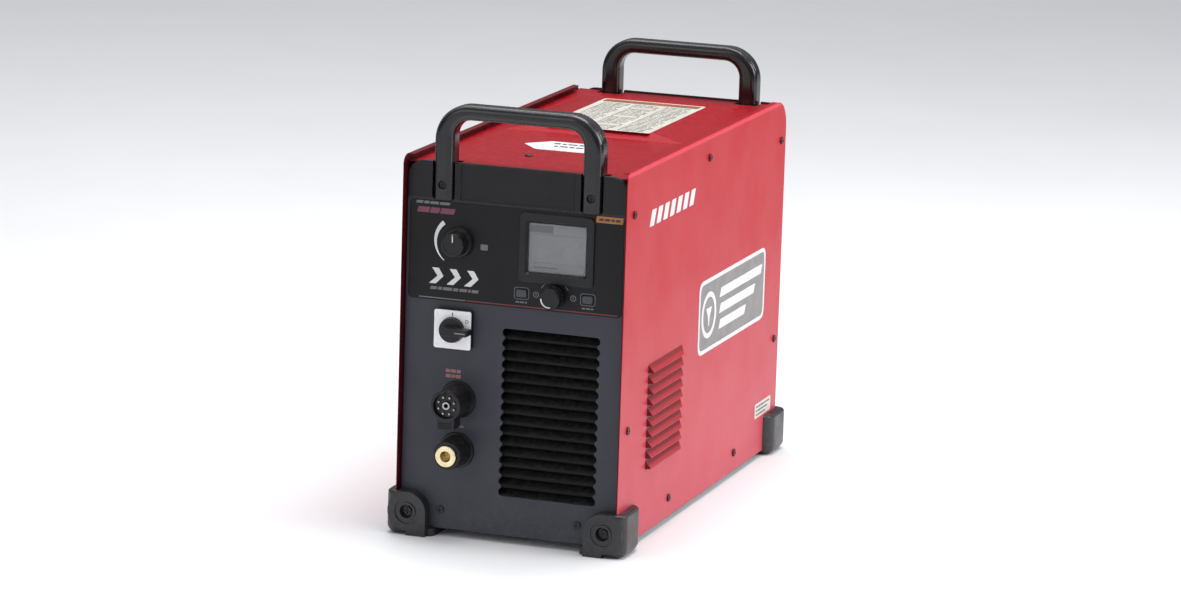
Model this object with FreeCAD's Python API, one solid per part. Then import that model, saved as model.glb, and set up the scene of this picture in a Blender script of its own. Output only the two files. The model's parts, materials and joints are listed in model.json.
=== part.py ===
import FreeCAD, Part
import math
import os

from FreeCAD import Vector

# Inverter plasma cutter power source: a sheet-steel case on four corner feet, with a moulded end panel
# and a fixed carrying handle at each end.  Millimetres, +Z up, the front faces -Y, and the origin is the
# centre of the footprint at floor level.
#
# Inside, a horizontal deck and an upright wall split the case into a wind tunnel on the right, with the
# fan at its rear and the louvred grille at its front, a power bay on the left and a control bay on top.

# ---- driving dimensions ------------------------------------------------------------------------------
OVERALL_WIDTH = 301.0         # across the feet
FOOTPRINT_DEPTH = 640.0       # over the front and rear feet
REACH = 346.0                 # the sockets in front and the air unit behind end this far from the origin
HANDLE_TOP = 519.0
CASE_TOP = 456.0              # top edge of the side covers
CASE_BOTTOM = 8.0             # bottom edge of the side covers
SHEET = 1.5                   # sheet-steel thickness
GAP = 0.2                     # assembly gap between pieces that only lie side by side

COVER_X = 139.0               # outer face of a side cover
COVER_FRONT = -315.0          # the side covers' front and rear edges
COVER_REAR = 307.0
CORNER_FRONT = 12.0           # radii of the covers' top corners
CORNER_REAR = 36.0
PANEL_Y = 304.0               # outer face of the end panels, set back between the covers
PANEL_X = 136.8
PANEL_T = 3.5
PANEL_BOTTOM = 9.2
PANEL_TOP = 450.0
PANEL_FLANGE = 34.0           # how far an end panel's rim reaches into the case
PANEL_CORNER = 20.0
CREASE_Z = 405.0              # the flat control face ends here, and the handle zone begins
DECK_TOP = 448.0              # top of the top cover's flat part

PANEL_BACK = PANEL_Y - PANEL_T
FRONT = -PANEL_Y
FRONT_BACK = -PANEL_BACK
COVER_IN = COVER_X - SHEET
LIP_Y = FRONT_BACK + 2.2      # the top cover's front edge comes to here
HALF_W = OVERALL_WIDTH / 2
HALF_D = FOOTPRINT_DEPTH / 2

# ---- front panel layout: centres (x, z) on the panel ---------------------------------------------------
KNOB = (-71.0, 356.0)
MENU = (50.0, 303.0)
BUTTONS = {"left_button": (9.0, 303.0), "right_button": (91.0, 303.0)}
DISPLAY = (51.0, 358.5)
SWITCH = (-73.0, 253.0)
SWITCH_SQUARE = 46.0          # side of the switch's square plate
TORCH = (-67.0, 168.0)
WORK = (-67.0, 106.5)
GRILLE = (47.0, 158.0)
SLATS, SLAT_PITCH, NOTCH_H = 16, 12.8, 10.2
GRILLE_W = 121.5
GRILLE_H = SLAT_PITCH * (SLATS - 1) + NOTCH_H
SCALLOP = 3.2                 # depth of the rounded notches down the grille's two sides
PANEL_SCREWS = ((-86.0, 32.5), (86.0, 32.5))

# ---- rear panel layout ---------------------------------------------------------------------------------
FAN = (46.0, 152.0)
FAN_R = 57.5
GLAND = (-88.0, 352.0)
CNC = (-88.0, 280.0)
BREAKER = (-88.0, 222.0)
AIR = (-84.0, 142.0)

# ---- corner feet ---------------------------------------------------------------------------------------
FOOT_IN = 99.0                # inner end of a foot's front wall
FOOT_SIDE = 68.0              # length of a foot's side wall
BOSS = (123.0, 29.0)          # centre of the screw boss on a foot
BOSS_R = 24.0                 # the front wall is an arch of this radius round the boss

# ---- handles -------------------------------------------------------------------------------------------
LEG_IN, LEG_OUT = 80.0, 104.0
HANDLE_Y0, HANDLE_Y1 = 281.0, 308.0
BAR_T = 18.0
HANDLE_BENDS = (42.0, 20.0)   # radii of the outer and inner bends
SLOT_SIDE = 2.0               # gap between a leg and the side of its slot
HANDLE_SCREW_Z = 423.0

# ---- side cover screws (y, z), the same on both sides --------------------------------------------------
COVER_SCREWS = ((-287.0, 405.0), (-287.0, 148.0), (287.0, 405.0), (287.0, 148.0),
                (-8.0, 429.0), (-126.0, 31.5), (132.0, 31.5))
SCREW_R, HEAD_R = 2.0, 4.8

LOUVRES = 10
LOUVRE_PITCH = 12.95
LOUVRE_LOW = 86.8             # bottom edge of the lowest
LOUVRE_Y = (-217.0, -92.0)

AXES = {"x": Vector(1, 0, 0), "y": Vector(0, 1, 0), "z": Vector(0, 0, 1)}
ORIGIN = Vector(0, 0, 0)


# ---- small helpers -------------------------------------------------------------------------------------
def box(x0, x1, y0, y1, z0, z1):
    return Part.makeBox(x1 - x0, y1 - y0, z1 - z0, Vector(x0, y0, z0))


def rod(x, y, z, radius, length, axis="y"):
    """A cylinder from (x, y, z) along an axis; a negative length runs the other way."""
    direction = AXES[axis] * (1 if length > 0 else -1)
    return Part.makeCylinder(radius, abs(length), Vector(x, y, z), direction)


def rod_y(centre, radius, y0, y1):
    return rod(centre[0], y0, centre[1], radius, y1 - y0)


def cone_y(centre, r0, r1, y0, y1):
    direction = AXES["y"] * (1 if y1 > y0 else -1)
    return Part.makeCone(r0, r1, abs(y1 - y0), Vector(centre[0], y0, centre[1]), direction)


def join(*shapes):
    return shapes[0].multiFuse(list(shapes[1:])).removeSplitter()


def group(shapes):
    return Part.makeCompound(list(shapes))


def edges_along(shape, axis, test=lambda e: True):
    """The straight edges parallel to an axis that pass a test."""
    found = []
    for e in shape.Edges:
        if e.Curve.TypeId != "Part::GeomLine":
            continue
        d = (e.Vertexes[1].Point - e.Vertexes[0].Point).normalize()
        if abs(abs(d.dot(AXES[axis])) - 1) < 1e-6 and test(e):
            found.append(e)
    return found


def edges_at(shape, axis, value):
    """The edges that lie wholly in the plane axis = value."""
    return [e for e in shape.Edges
            if abs(e.BoundBox.__getattribute__(axis.upper() + "Min") - value) < 1e-4
            and abs(e.BoundBox.__getattribute__(axis.upper() + "Max") - value) < 1e-4]


def plate_xz(centre, width, height, radius, y0, y1):
    """A plate facing Y with rounded corners."""
    x, z = centre
    blank = box(x - width / 2, x + width / 2, y0, y1, z - height / 2, z + height / 2)
    return blank.makeFillet(radius, edges_along(blank, "y")) if radius else blank


def outline(points, direction):
    """A prism from a closed list of points, pushed along a vector."""
    wire = Part.makePolygon(list(points) + [points[0]])
    return Part.Face(wire).extrude(direction)


def at_rear(shape):
    return shape.mirror(ORIGIN, AXES["y"])


def at_left(shape):
    return shape.mirror(ORIGIN, AXES["x"])


def on_circle(centre, radius, count, start=0.0):
    """Evenly spaced (x, z) points round a centre."""
    for i in range(count):
        a = math.radians(start) + 2 * math.pi * i / count
        yield centre[0] + radius * math.cos(a), centre[1] + radius * math.sin(a)


FAN_HOLE_R = 52.5 * math.sqrt(2)        # the fan's four screws are at the corners of a 105 mm square
FAN_HOLES = tuple(on_circle(FAN, FAN_HOLE_R, 4, 45))


def tube_along(points, radius):
    """A round tube along straight runs joined by tangent arcs, each as large as its two runs allow."""
    edges, start = [], points[0]
    for before, corner, after in zip(points, points[1:], points[2:]):
        into, out = (corner - before), (after - corner)
        turn = into.getAngle(out)
        reach = 0.45 * min(into.Length, out.Length)
        bend = reach / math.tan(turn / 2)
        a = corner - into.normalize() * reach
        b = corner + out.normalize() * reach
        chord = (a + b) * 0.5
        centre = corner + (chord - corner).normalize() * (bend / math.cos(turn / 2))
        middle = centre + (corner - centre).normalize() * bend
        edges += [Part.LineSegment(start, a).toShape(), Part.Arc(a, middle, b).toShape()]
        start = b
    edges.append(Part.LineSegment(start, points[-1]).toShape())
    path = Part.Wire(edges)
    ring = Part.Wire(Part.makeCircle(radius, points[0], points[1] - points[0]))
    return path.makePipeShell([ring], True, False)


# ---- case ----------------------------------------------------------------------------------------------
PAN_X = COVER_IN - GAP
PAN_Y = PANEL_BACK - GAP
PAN_Z = 9.0
PAN_RIM_TOP = 46.0


def base_pan():
    pan = box(-PAN_X, PAN_X, -PAN_Y, PAN_Y, PAN_Z, PAN_RIM_TOP)
    pan = pan.makeFillet(3.0, [e for e in edges_along(pan, "y") + edges_along(pan, "x")
                               if abs(e.BoundBox.ZMax - PAN_Z) < 1e-3])
    inside = box(-PAN_X + SHEET, PAN_X - SHEET, -PAN_Y + SHEET, PAN_Y - SHEET, PAN_Z + SHEET, PAN_RIM_TOP + 1)
    tools = [inside]
    for y, z in COVER_SCREWS:
        if z < PAN_RIM_TOP:
            tools.append(rod(-PAN_X - 1, y, z, SCREW_R + 0.1, 2 * PAN_X + 2, "x"))
    for centre in PANEL_SCREWS:
        tools.append(rod_y(centre, SCREW_R + 0.1, -PAN_Y - 1, PAN_Y + 1))
    return pan.cut(tools)


def panel_outline(inset, y0, y1):
    """The end panel's outline: small radii below, larger ones at its two top corners."""
    x = PANEL_X - inset
    blank = box(-x, x, y0, y1, PANEL_BOTTOM + inset, PANEL_TOP - inset)
    top = edges_along(blank, "y", lambda e: e.BoundBox.ZMin > PANEL_TOP / 2)
    return blank.makeFillet(PANEL_CORNER - inset, top)


def panel_blank():
    """The front end panel before its own cut-outs; the rear one is its mirror image."""
    rim = PAN_RIM_TOP + 3
    shell = panel_outline(0, FRONT, FRONT + PANEL_FLANGE)
    face_edges = [e for e in edges_at(shell, "y", FRONT)]
    shell = shell.makeFillet(1.2, face_edges)
    hollow = panel_outline(3.0, FRONT_BACK, FRONT + PANEL_FLANGE + 1)
    below = box(-PANEL_X - 1, PANEL_X + 1, FRONT_BACK, FRONT + PANEL_FLANGE + 1, 0, rim)
    shell = shell.cut([hollow, below])
    # the handle zone between the legs is set back
    step = 2.5
    back = box(-LEG_IN + 6, LEG_IN - 6, FRONT_BACK - 0.5, FRONT_BACK + 2, CREASE_Z - 3, PANEL_TOP - 1)
    recess = box(-LEG_IN + 9, LEG_IN - 9, FRONT - 1, FRONT + step, CREASE_Z, PANEL_TOP + 1)
    recess = recess.makeFillet(3.0, [e for e in edges_along(recess, "x") + edges_along(recess, "z")
                                     if abs(e.BoundBox.YMax - FRONT - step) < 1e-3
                                     and e.BoundBox.ZMax < PANEL_TOP + 1.1])
    shell = join(shell, back).cut(recess)
    # a socket for each handle leg
    for side in (1, -1):
        x0, x1 = sorted((side * (LEG_IN - 6), side * (LEG_OUT + 6)))
        socket = box(x0, x1, FRONT + 0.5, -HANDLE_Y0 + 3.5, CREASE_Z - 3, PANEL_TOP - 0.6)
        x0, x1 = sorted((side * (LEG_IN - SLOT_SIDE), side * (LEG_OUT + SLOT_SIDE)))
        slot = box(x0, x1, FRONT - 1, -HANDLE_Y0 + GAP, CREASE_Z, PANEL_TOP + 1)
        slot = slot.makeFillet(4.0, [e for e in edges_along(slot, "y") if e.BoundBox.ZMax < CREASE_Z + 1])
        shell = join(shell, socket).cut(slot)
        shell = shell.cut(rod(side * (LEG_IN + LEG_OUT) / 2, FRONT, HANDLE_SCREW_Z, SCREW_R + 0.6, 60))
    for y, z in COVER_SCREWS:
        if y < -200 and z > 100:
            shell = shell.cut(rod(-PANEL_X - 1, y, z, SCREW_R + 0.1, 2 * PANEL_X + 2, "x"))
    # the top cover lies over the rim, right up to the face
    rim_top = box(-PANEL_X - 1, PANEL_X + 1, LIP_Y, 0, DECK_TOP - SHEET - GAP, PANEL_TOP + 1)
    holes = [rim_top] + [rod_y(c, SCREW_R + 0.1, FRONT - 1, FRONT_BACK + 1) for c in PANEL_SCREWS]
    holes += [rod_y((s * BOSS[0], BOSS[1]), SCREW_R + 0.1, FRONT - 1, FRONT_BACK + 1) for s in (1, -1)]
    return shell.cut(holes)


def slat_levels():
    return [GRILLE[1] + SLAT_PITCH * (i - (SLATS - 1) / 2) for i in range(SLATS)]


def front_panel():
    shell = panel_blank()
    cuts = [plate_xz(DISPLAY, 78, 66, 4, FRONT - 1, FRONT_BACK + 1),
            rod_y(KNOB, 5.1, FRONT - 1, FRONT_BACK + 1),
            rod_y(MENU, 4.6, FRONT - 1, FRONT_BACK + 1),
            rod_y(SWITCH, 10.3, FRONT - 1, FRONT_BACK + 1),
            rod_y(TORCH, TORCH_NECK + 0.2, FRONT - 1, FRONT_BACK + 1),
            rod_y(WORK, WORK_NECK + 0.2, FRONT - 1, FRONT_BACK + 1),
            plate_xz(GRILLE, GRILLE_W - 2 * SCALLOP, GRILLE_H, 3, FRONT - 1, FRONT_BACK + 1)]
    for centre in BUTTONS.values():
        cuts.append(plate_xz(centre, 13.6, 9.6, 2.4, FRONT - 1, FRONT_BACK + 1))
    for z in slat_levels():
        cuts.append(plate_xz((GRILLE[0], z), GRILLE_W, NOTCH_H, 4.9, FRONT - 1, FRONT_BACK + 1))
    return shell.cut(cuts)


def rear_panel():
    shell = at_rear(panel_blank())
    cuts = [rod_y(FAN, FAN_R, PANEL_BACK - 1, PANEL_Y + 1),
            rod_y(GLAND, 12.2, PANEL_BACK - 1, PANEL_Y + 1),
            rod_y(CNC, 12.2, PANEL_BACK - 1, PANEL_Y + 1),
            rod_y(BREAKER, 6.2, PANEL_BACK - 1, PANEL_Y + 1),
            rod_y(AIR, 8.2, PANEL_BACK - 1, PANEL_Y + 1)]
    for centre in FAN_HOLES:
        cuts.append(rod_y(centre, SCREW_R + 0.1, PANEL_BACK - 1, PANEL_Y + 1))
    return shell.cut(cuts)


def louvre(z_low, grow):
    """One pressed hood, open below: it slopes out to a thin lip, and is steeper at its front end."""
    y0, y1 = LOUVRE_Y
    height, out = 10.4, 6.0
    ends = (3.0, 8.0)             # how far the hood draws in at its front and rear ends
    t = grow

    def ring(x, insets, top):
        low = z_low - (4 if t else 0)
        front, rear = y0 + insets[0] + t, y1 - insets[1] - t
        pts = [Vector(x, front, low), Vector(x, rear, low), Vector(x, rear, z_low + top - t),
               Vector(x, front, z_low + top - t)]
        return Part.makePolygon(pts + [pts[0]])

    return Part.makeLoft([ring(COVER_IN if t else COVER_X - 0.5, (0, 0), height),
                          ring(COVER_X + out - t, ends, 0.8)], True, True)


def right_cover():
    plate = box(COVER_IN, COVER_X, COVER_FRONT, COVER_REAR, CASE_BOTTOM, CASE_TOP)
    for y, radius in ((COVER_FRONT, CORNER_FRONT), (COVER_REAR, CORNER_REAR)):
        corner = edges_along(plate, "x", lambda e: e.BoundBox.ZMin > CASE_TOP / 2
                             and abs(e.BoundBox.YMin - y) < 0.1)
        plate = plate.makeFillet(radius, corner)
    lip = box(COVER_X - 9.0, COVER_X - 0.2, COVER_FRONT + CORNER_FRONT, COVER_REAR - CORNER_REAR,
              CASE_TOP - SHEET, CASE_TOP)
    plate = join(plate, lip)
    rim = [e for e in edges_along(plate, "y")
           if e.BoundBox.ZMin > CASE_TOP - 0.01 and e.BoundBox.XMin > COVER_X - 0.01]
    plate = plate.makeFillet(1.2, rim)
    lows = [LOUVRE_LOW + LOUVRE_PITCH * i for i in range(LOUVRES)]
    plate = join(plate, *[louvre(z, 0) for z in lows])
    plate = plate.cut([louvre(z, 1.1).common(box(COVER_IN - 1, COVER_X + 9, -400, 0, z - 0.9, z + 20))
                       for z in lows])
    return plate.cut([rod(COVER_IN - 1, y, z, SCREW_R + 0.4, 4, "x") for y, z in COVER_SCREWS])


PLATFORM = (71.0, -26.0, 214.0)       # half width, front, rear of the raised middle
SKIRT = (115.0, -39.0, 236.0)         # where its slopes meet the deck


def top_cover():
    """A flat deck with a raised middle, between the side covers, and a turned-down flange each side."""
    edge_y, flange_y = -LIP_Y - GAP, PANEL_Y - PANEL_FLANGE - 0.4

    def rise(drop):
        rings = []
        for (half, front, rear), z in ((SKIRT, DECK_TOP - 0.02 - drop), (PLATFORM, CASE_TOP - drop)):
            pts = [Vector(-half, front, z), Vector(half, front, z),
                   Vector(half, rear, z), Vector(-half, rear, z)]
            rings.append(Part.makePolygon(pts + [pts[0]]))
        return Part.makeLoft(rings, True, True)

    deck = box(-PAN_X, PAN_X, -edge_y, edge_y, DECK_TOP - SHEET, DECK_TOP)
    sheet = join(deck, rise(0)).cut(rise(SHEET))
    flanges = [box(x0, x0 + SHEET, -flange_y, flange_y, DECK_TOP - 34, DECK_TOP - 0.5)
               for x0 in (PAN_X - SHEET, -PAN_X)]
    sheet = join(sheet, *flanges)
    # notches round the handle legs
    for side in (1, -1):
        x0, x1 = sorted((side * (LEG_IN - 3.5), side * (LEG_OUT + 3.5)))
        sheet = sheet.cut([box(x0, x1, -edge_y - 1, -HANDLE_Y0 + 4, 440, 460),
                           box(x0, x1, HANDLE_Y0 - 4, edge_y + 1, 440, 460)])
    holes = [rod(-PAN_X - 1, y, z, SCREW_R + 0.1, 2 * PAN_X + 2, "x") for y, z in COVER_SCREWS if z > 410]
    return sheet.cut(holes)


def handle():
    """The front handle; the rear one is its mirror image."""
    y0, y1 = -HANDLE_Y1, -HANDLE_Y0
    foot = CREASE_Z + 0.6
    blank = box(-LEG_OUT, LEG_OUT, y0, y1, foot, HANDLE_TOP)
    blank = blank.makeFillet(HANDLE_BENDS[0], edges_along(blank, "y", lambda e: e.BoundBox.ZMin > 450))
    hole = box(-LEG_IN, LEG_IN, y0 - 1, y1 + 1, foot - 1, HANDLE_TOP - BAR_T)
    hole = hole.makeFillet(HANDLE_BENDS[1], edges_along(hole, "y", lambda e: e.BoundBox.ZMin > 450))
    bail = blank.cut(hole)
    rims = [e for e in edges_at(bail, "y", y0) + edges_at(bail, "y", y1) if e.BoundBox.ZMax > foot + 1]
    bail = bail.makeFillet(7.5, rims)
    for side in (1, -1):
        x = side * (LEG_IN + LEG_OUT) / 2
        bail = bail.cut([rod(x, y0 - 1, HANDLE_SCREW_Z, HEAD_R + 0.4, 5.0),
                         rod(x, y0 - 1, HANDLE_SCREW_Z, SCREW_R + 0.2, 40)])
    return bail


def foot():
    """The front right foot: a corner cap with an arched front wall, a side wall and a pad under the case."""
    x, z = BOSS
    arch = rod_y(BOSS, BOSS_R, -HALF_D, -PANEL_Y + 0.0)
    wall = box(x, HALF_W, -HALF_D, -HALF_D + FOOT_SIDE, 0, z + BOSS_R)
    inner = box(FOOT_IN, x, -HALF_D, -PANEL_Y, 0, z)
    pad = box(FOOT_IN - 8, x, -HALF_D + 7, -HALF_D + FOOT_SIDE, 0, PAN_Z)
    pad = pad.makeFillet(7.0, edges_along(pad, "z", lambda e: e.BoundBox.XMax < FOOT_IN))
    # round the outside of the corner before the case is taken out of it
    wall = wall.makeFillet(13.0, edges_along(wall, "z", lambda e: e.BoundBox.XMin > x + 1
                                             and e.BoundBox.YMax < -300))
    outer = [e for e in wall.Edges if e.BoundBox.ZMax < 0.01 and (e.BoundBox.XMax > HALF_W - 13.1)
             and not (e.BoundBox.YMin > -HALF_D + FOOT_SIDE - 0.1)]
    wall = wall.makeFillet(11.0, outer)
    heel = [e for e in edges_along(wall, "x") if e.BoundBox.ZMax < 0.01]
    wall = wall.makeFillet(20.0, heel) if heel else wall
    upper = [e for e in wall.Edges if e.BoundBox.ZMin > z + BOSS_R - 0.01 and e.BoundBox.XMax > HALF_W - 13.1
             and not (e.BoundBox.YMin > -HALF_D + FOOT_SIDE - 0.1)]
    wall = wall.makeFillet(4.0, upper)
    body = join(wall, arch, inner, pad)
    case = box(-COVER_X, PANEL_X + 0.6, -PANEL_Y - 0.05, 0, PAN_Z - 0.05, 200)
    cover = box(COVER_IN - 0.5, COVER_X + 0.15, COVER_FRONT - 0.3, 0, CASE_BOTTOM - 0.15, 200)
    groove = rod_y(BOSS, 15.0, -HALF_D - 1, -HALF_D + 1.6).cut(rod_y(BOSS, 11.0, -HALF_D - 2, -HALF_D + 2))
    well = cone_y(BOSS, 8.5, 6.4, -HALF_D - 0.01, -HALF_D + 7)
    shank = rod_y(BOSS, SCREW_R + 0.3, -HALF_D, -PANEL_Y + 1)
    ribs = [box(x + 4, HALF_W + 1, -HALF_D + FOOT_SIDE - 7 - 7 * i, -HALF_D + FOOT_SIDE - 4 - 7 * i, -1, 1.4)
            for i in range(4)]
    return body.cut([case, cover, groove, well, shank] + ribs)


# ---- fasteners -----------------------------------------------------------------------------------------
def screw(x, y, z, axis, into, length, head_r=HEAD_R, head_t=2.2):
    """A cross-recessed screw whose head sits on (x, y, z) and whose shank runs along axis by sign into."""
    head = rod(x, y, z, head_r, -into * head_t, axis)
    outer = {"x": x, "y": y}[axis] - into * head_t
    head = head.makeFillet(0.9, edges_at(head, axis, outer))
    shank = rod(x, y, z, SCREW_R, into * length, axis)
    slot = 1.2
    arm = head_r * 0.62
    deep = head_t * 0.6
    if axis == "x":
        x0, x1 = sorted((outer - into * 1, outer + into * deep))
        cross = [box(x0, x1, y - arm, y + arm, z - slot / 2, z + slot / 2),
                 box(x0, x1, y - slot / 2, y + slot / 2, z - arm, z + arm)]
    else:
        y0, y1 = sorted((outer - into * 1, outer + into * deep))
        cross = [box(x - arm, x + arm, y0, y1, z - slot / 2, z + slot / 2),
                 box(x - slot / 2, x + slot / 2, y0, y1, z - arm, z + arm)]
    return join(head, shank).cut(cross)


def cover_screws():
    made = []
    for y, z in COVER_SCREWS:
        for side in (1, -1):
            made.append(screw(side * (COVER_X + 0.05), y, z, "x", -side, 7))
    return group(made)


def panel_screws():
    """The end panels' lower screws and the feet's screws, front and rear."""
    made = []
    for x, z in PANEL_SCREWS:
        made.append(screw(x, FRONT - 0.05, z, "y", 1, 9))
    for side in (1, -1):
        made.append(screw(side * BOSS[0], -HALF_D + 6.95, BOSS[1], "y", 1, 12))
    return group(made + [at_rear(s) for s in made])


def handle_screws():
    made = [screw(side * (LEG_IN + LEG_OUT) / 2, -HANDLE_Y1 + 3.95, HANDLE_SCREW_Z, "y", 1, 32)
            for side in (1, -1)]
    return group(made + [at_rear(s) for s in made])


# ---- grille, overlay and display -----------------------------------------------------------------------
def front_grille():
    """Sloping slats in a frame behind the front panel's opening."""
    y0, y1 = FRONT_BACK + GAP, FRONT_BACK + 12
    x, z = GRILLE
    w, h = GRILLE_W + 10, GRILLE_H + 8
    frame = box(x - w / 2, x + w / 2, y0, y1, z - h / 2, z + h / 2)
    frame = frame.cut(box(x - w / 2 + 4, x + w / 2 - 4, y0 - 1, y1 + 1, z - h / 2 + 4, z + h / 2 - 4))
    slats = []
    for level in slat_levels():
        low, high = level - SLAT_PITCH * 0.66, level - SLAT_PITCH * 0.04
        pts = [Vector(x - w / 2 + 1, y0 + 1.6, low), Vector(x - w / 2 + 1, y1 - 0.4, high),
               Vector(x - w / 2 + 1, y1 - 0.4, high + 3.2), Vector(x - w / 2 + 1, y0 + 1.6, low + 3.2)]
        slats.append(outline(pts, Vector(w - 2, 0, 0)))
    return join(frame, *slats)


OVERLAY_T = 0.6
OVERLAY_Z = (285.0, 403.5)


def control_overlay():
    z0, z1 = OVERLAY_Z
    sheet = plate_xz((0, (z0 + z1) / 2), 266, z1 - z0, 5, FRONT - OVERLAY_T, FRONT - 0.02)
    cuts = [plate_xz(DISPLAY, 78, 66, 4, FRONT - 2, FRONT + 1), rod_y(KNOB, 5.1, FRONT - 2, FRONT + 1),
            rod_y(MENU, 4.6, FRONT - 2, FRONT + 1)]
    cuts += [plate_xz(c, 13.6, 9.6, 2.4, FRONT - 2, FRONT + 1) for c in BUTTONS.values()]
    return sheet.cut(cuts)


WINDOW_W, WINDOW_H = 71.0, 58.0


def display_bezel():
    face = FRONT - OVERLAY_T
    rim = plate_xz(DISPLAY, 93, 83, 6, face - 2.6, face - 0.05)
    rim = rim.makeFillet(1.6, edges_at(rim, "y", face - 2.6))
    collar = plate_xz(DISPLAY, 77.4, 65.4, 3.7, face - 1, FRONT_BACK + 3)
    mouth = Part.makeLoft([rounded_wire(DISPLAY, WINDOW_W + 6, WINDOW_H + 6, 4, face - 2.65),
                           rounded_wire(DISPLAY, WINDOW_W, WINDOW_H, 2, face + 1.2)], True, True)
    bore = plate_xz(DISPLAY, WINDOW_W, WINDOW_H, 2, face, FRONT_BACK + 4)
    seat = plate_xz(DISPLAY, WINDOW_W + 3, WINDOW_H + 3, 2, FRONT + 0.4, FRONT_BACK + 4)
    return join(rim, collar).cut([mouth, bore, seat])


def rounded_wire(centre, width, height, radius, y):
    x, z = centre
    a, b = width / 2 - radius, height / 2 - radius
    k = radius * math.sqrt(0.5)
    edges = []
    for sx, sz, start in ((1, 1, 0), (-1, 1, 1), (-1, -1, 2), (1, -1, 3)):
        c = Vector(x + sx * a, y, z + sz * b)
        ends = [Vector(sx * radius, 0, 0), Vector(0, 0, sz * radius)]
        if start % 2:
            ends.reverse()
        mid = Vector(sx * k, 0, sz * k)
        edges.append(Part.Arc(c + ends[0], c + mid, c + ends[1]).toShape())
    sides = []
    for first, second in zip(edges, edges[1:] + edges[:1]):
        sides += [first, Part.LineSegment(first.Vertexes[-1].Point, second.Vertexes[0].Point).toShape()]
    return Part.Wire(Part.__sortEdges__(sides))


def display_window():
    return plate_xz(DISPLAY, WINDOW_W + 2.6, WINDOW_H + 2.6, 1.8, FRONT + 0.5, FRONT + 2.3)


BOARD_Y = -289.0              # front of the display board
BOARD_T = 1.6


def display_module():
    frame = plate_xz(DISPLAY, 76, 64, 1, FRONT + 7.2, BOARD_Y - 0.1)
    glass = plate_xz(DISPLAY, WINDOW_W - 1, WINDOW_H - 1, 0.5, FRONT + 2.6, FRONT + 7.3)
    return join(frame, glass)


def display_board():
    """The board behind the control face, with the potentiometer, the encoder and two push switches on it."""
    board = box(-112, 118, BOARD_Y, BOARD_Y + BOARD_T, 290, 398)
    pieces = [board]
    for centre, size, bush in ((KNOB, 24, 4.8), (MENU, 14, 4.3)):
        body = plate_xz(centre, size, size, 1.5, FRONT_BACK + GAP, BOARD_Y - 0.05)
        sleeve = rod_y(centre, bush, FRONT - 1.2, FRONT_BACK + 1)
        pieces.append(join(body, sleeve).cut(rod_y(centre, 3.06, FRONT - 5, BOARD_Y - 2.0)))
    for centre in BUTTONS.values():
        pieces.append(join(plate_xz(centre, 8, 8, 0.6, -294.5, BOARD_Y - 0.05),
                           rod_y(centre, 1.8, -295.3, -294.4)))
    return group(pieces)


# ---- knobs, buttons and the mains switch ---------------------------------------------------------------
def current_knob():
    """A fluted knob with a skirt and a pointer groove, and its shaft down into the potentiometer."""
    back, face = FRONT - 2.0, FRONT - 23.0
    skirt = cone_y(KNOB, 18.5, 17.0, back, back - 4)
    cap = cone_y(KNOB, 15.0, 13.6, back - 4, face)
    cap = cap.makeFillet(1.4, edges_at(cap, "y", face))
    knob = join(skirt, cap)
    flutes = [rod(x, back - 4.6, z, 1.5, -30) for x, z in on_circle(KNOB, 15.8, 18, 10)]
    dish = rod_y(KNOB, 10.5, face - 1, face + 0.8)
    pointer = box(KNOB[0] - 0.8, KNOB[0] + 0.8, face - 1, face + 1.6, KNOB[1] + 3, KNOB[1] + 15)
    nut_room = rod_y(KNOB, 8.0, back + 1, back - 3)
    knob = knob.cut(flutes + [dish, pointer, nut_room])
    return join(knob, rod_y(KNOB, 3.0, back - 6, BOARD_Y - 3))


MENU_TRAVEL = 1.0


def encoder_shaft():
    """The part of the push encoder that goes in and out."""
    return join(rod_y(MENU, 3.0, FRONT - 16, BOARD_Y - 2.0 - MENU_TRAVEL - 0.3),
                rod_y(MENU, 3.9, FRONT - 3.6, FRONT - 2.4 - GAP))


def menu_knob():
    back, face = FRONT - 4.0, FRONT - 21.0
    knob = cone_y(MENU, 13.5, 12.4, back, face)
    knob = knob.makeFillet(1.6, edges_at(knob, "y", face))
    flutes = [rod(x, back - 3.0, z, 1.1, -30) for x, z in on_circle(MENU, 13.3, 24)]
    dish = rod_y(MENU, 8.5, face - 1, face + 0.7)
    return knob.cut(flutes + [dish, rod_y(MENU, 3.06, back + 1, FRONT - 16.4)])


BUTTON_TRAVEL = 1.0


def push_button(centre):
    front = FRONT - OVERLAY_T - 2.0
    cap = plate_xz(centre, 13.0, 9.0, 2.2, front, FRONT_BACK + GAP)
    cap = cap.makeFillet(0.9, edges_at(cap, "y", front))
    flange = plate_xz(centre, 16, 12, 2.4, FRONT_BACK + GAP, FRONT_BACK + GAP + 1.2)
    return join(cap, flange, rod_y(centre, 2.0, FRONT_BACK, -295.3 - BUTTON_TRAVEL - 0.3))


SWITCH_FACE = FRONT - 8.0     # front of the switch's black frame
SWITCH_KNOB_BACK = SWITCH_FACE - 2.0


def power_switch_body():
    frame = plate_xz(SWITCH, SWITCH_SQUARE, SWITCH_SQUARE, 2.5, SWITCH_FACE, FRONT - 0.05)
    neck = rod_y(SWITCH, 10.0, FRONT - 1, FRONT_BACK + 1)
    cell = plate_xz(SWITCH, 43, 43, 3, FRONT_BACK + GAP, -240)
    rear = plate_xz(SWITCH, 38, 38, 3, -240.5, -226)
    return join(frame, neck, cell, rear).cut(rod_y(SWITCH, 3.56, SWITCH_FACE - 1, FRONT + 18))


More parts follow.
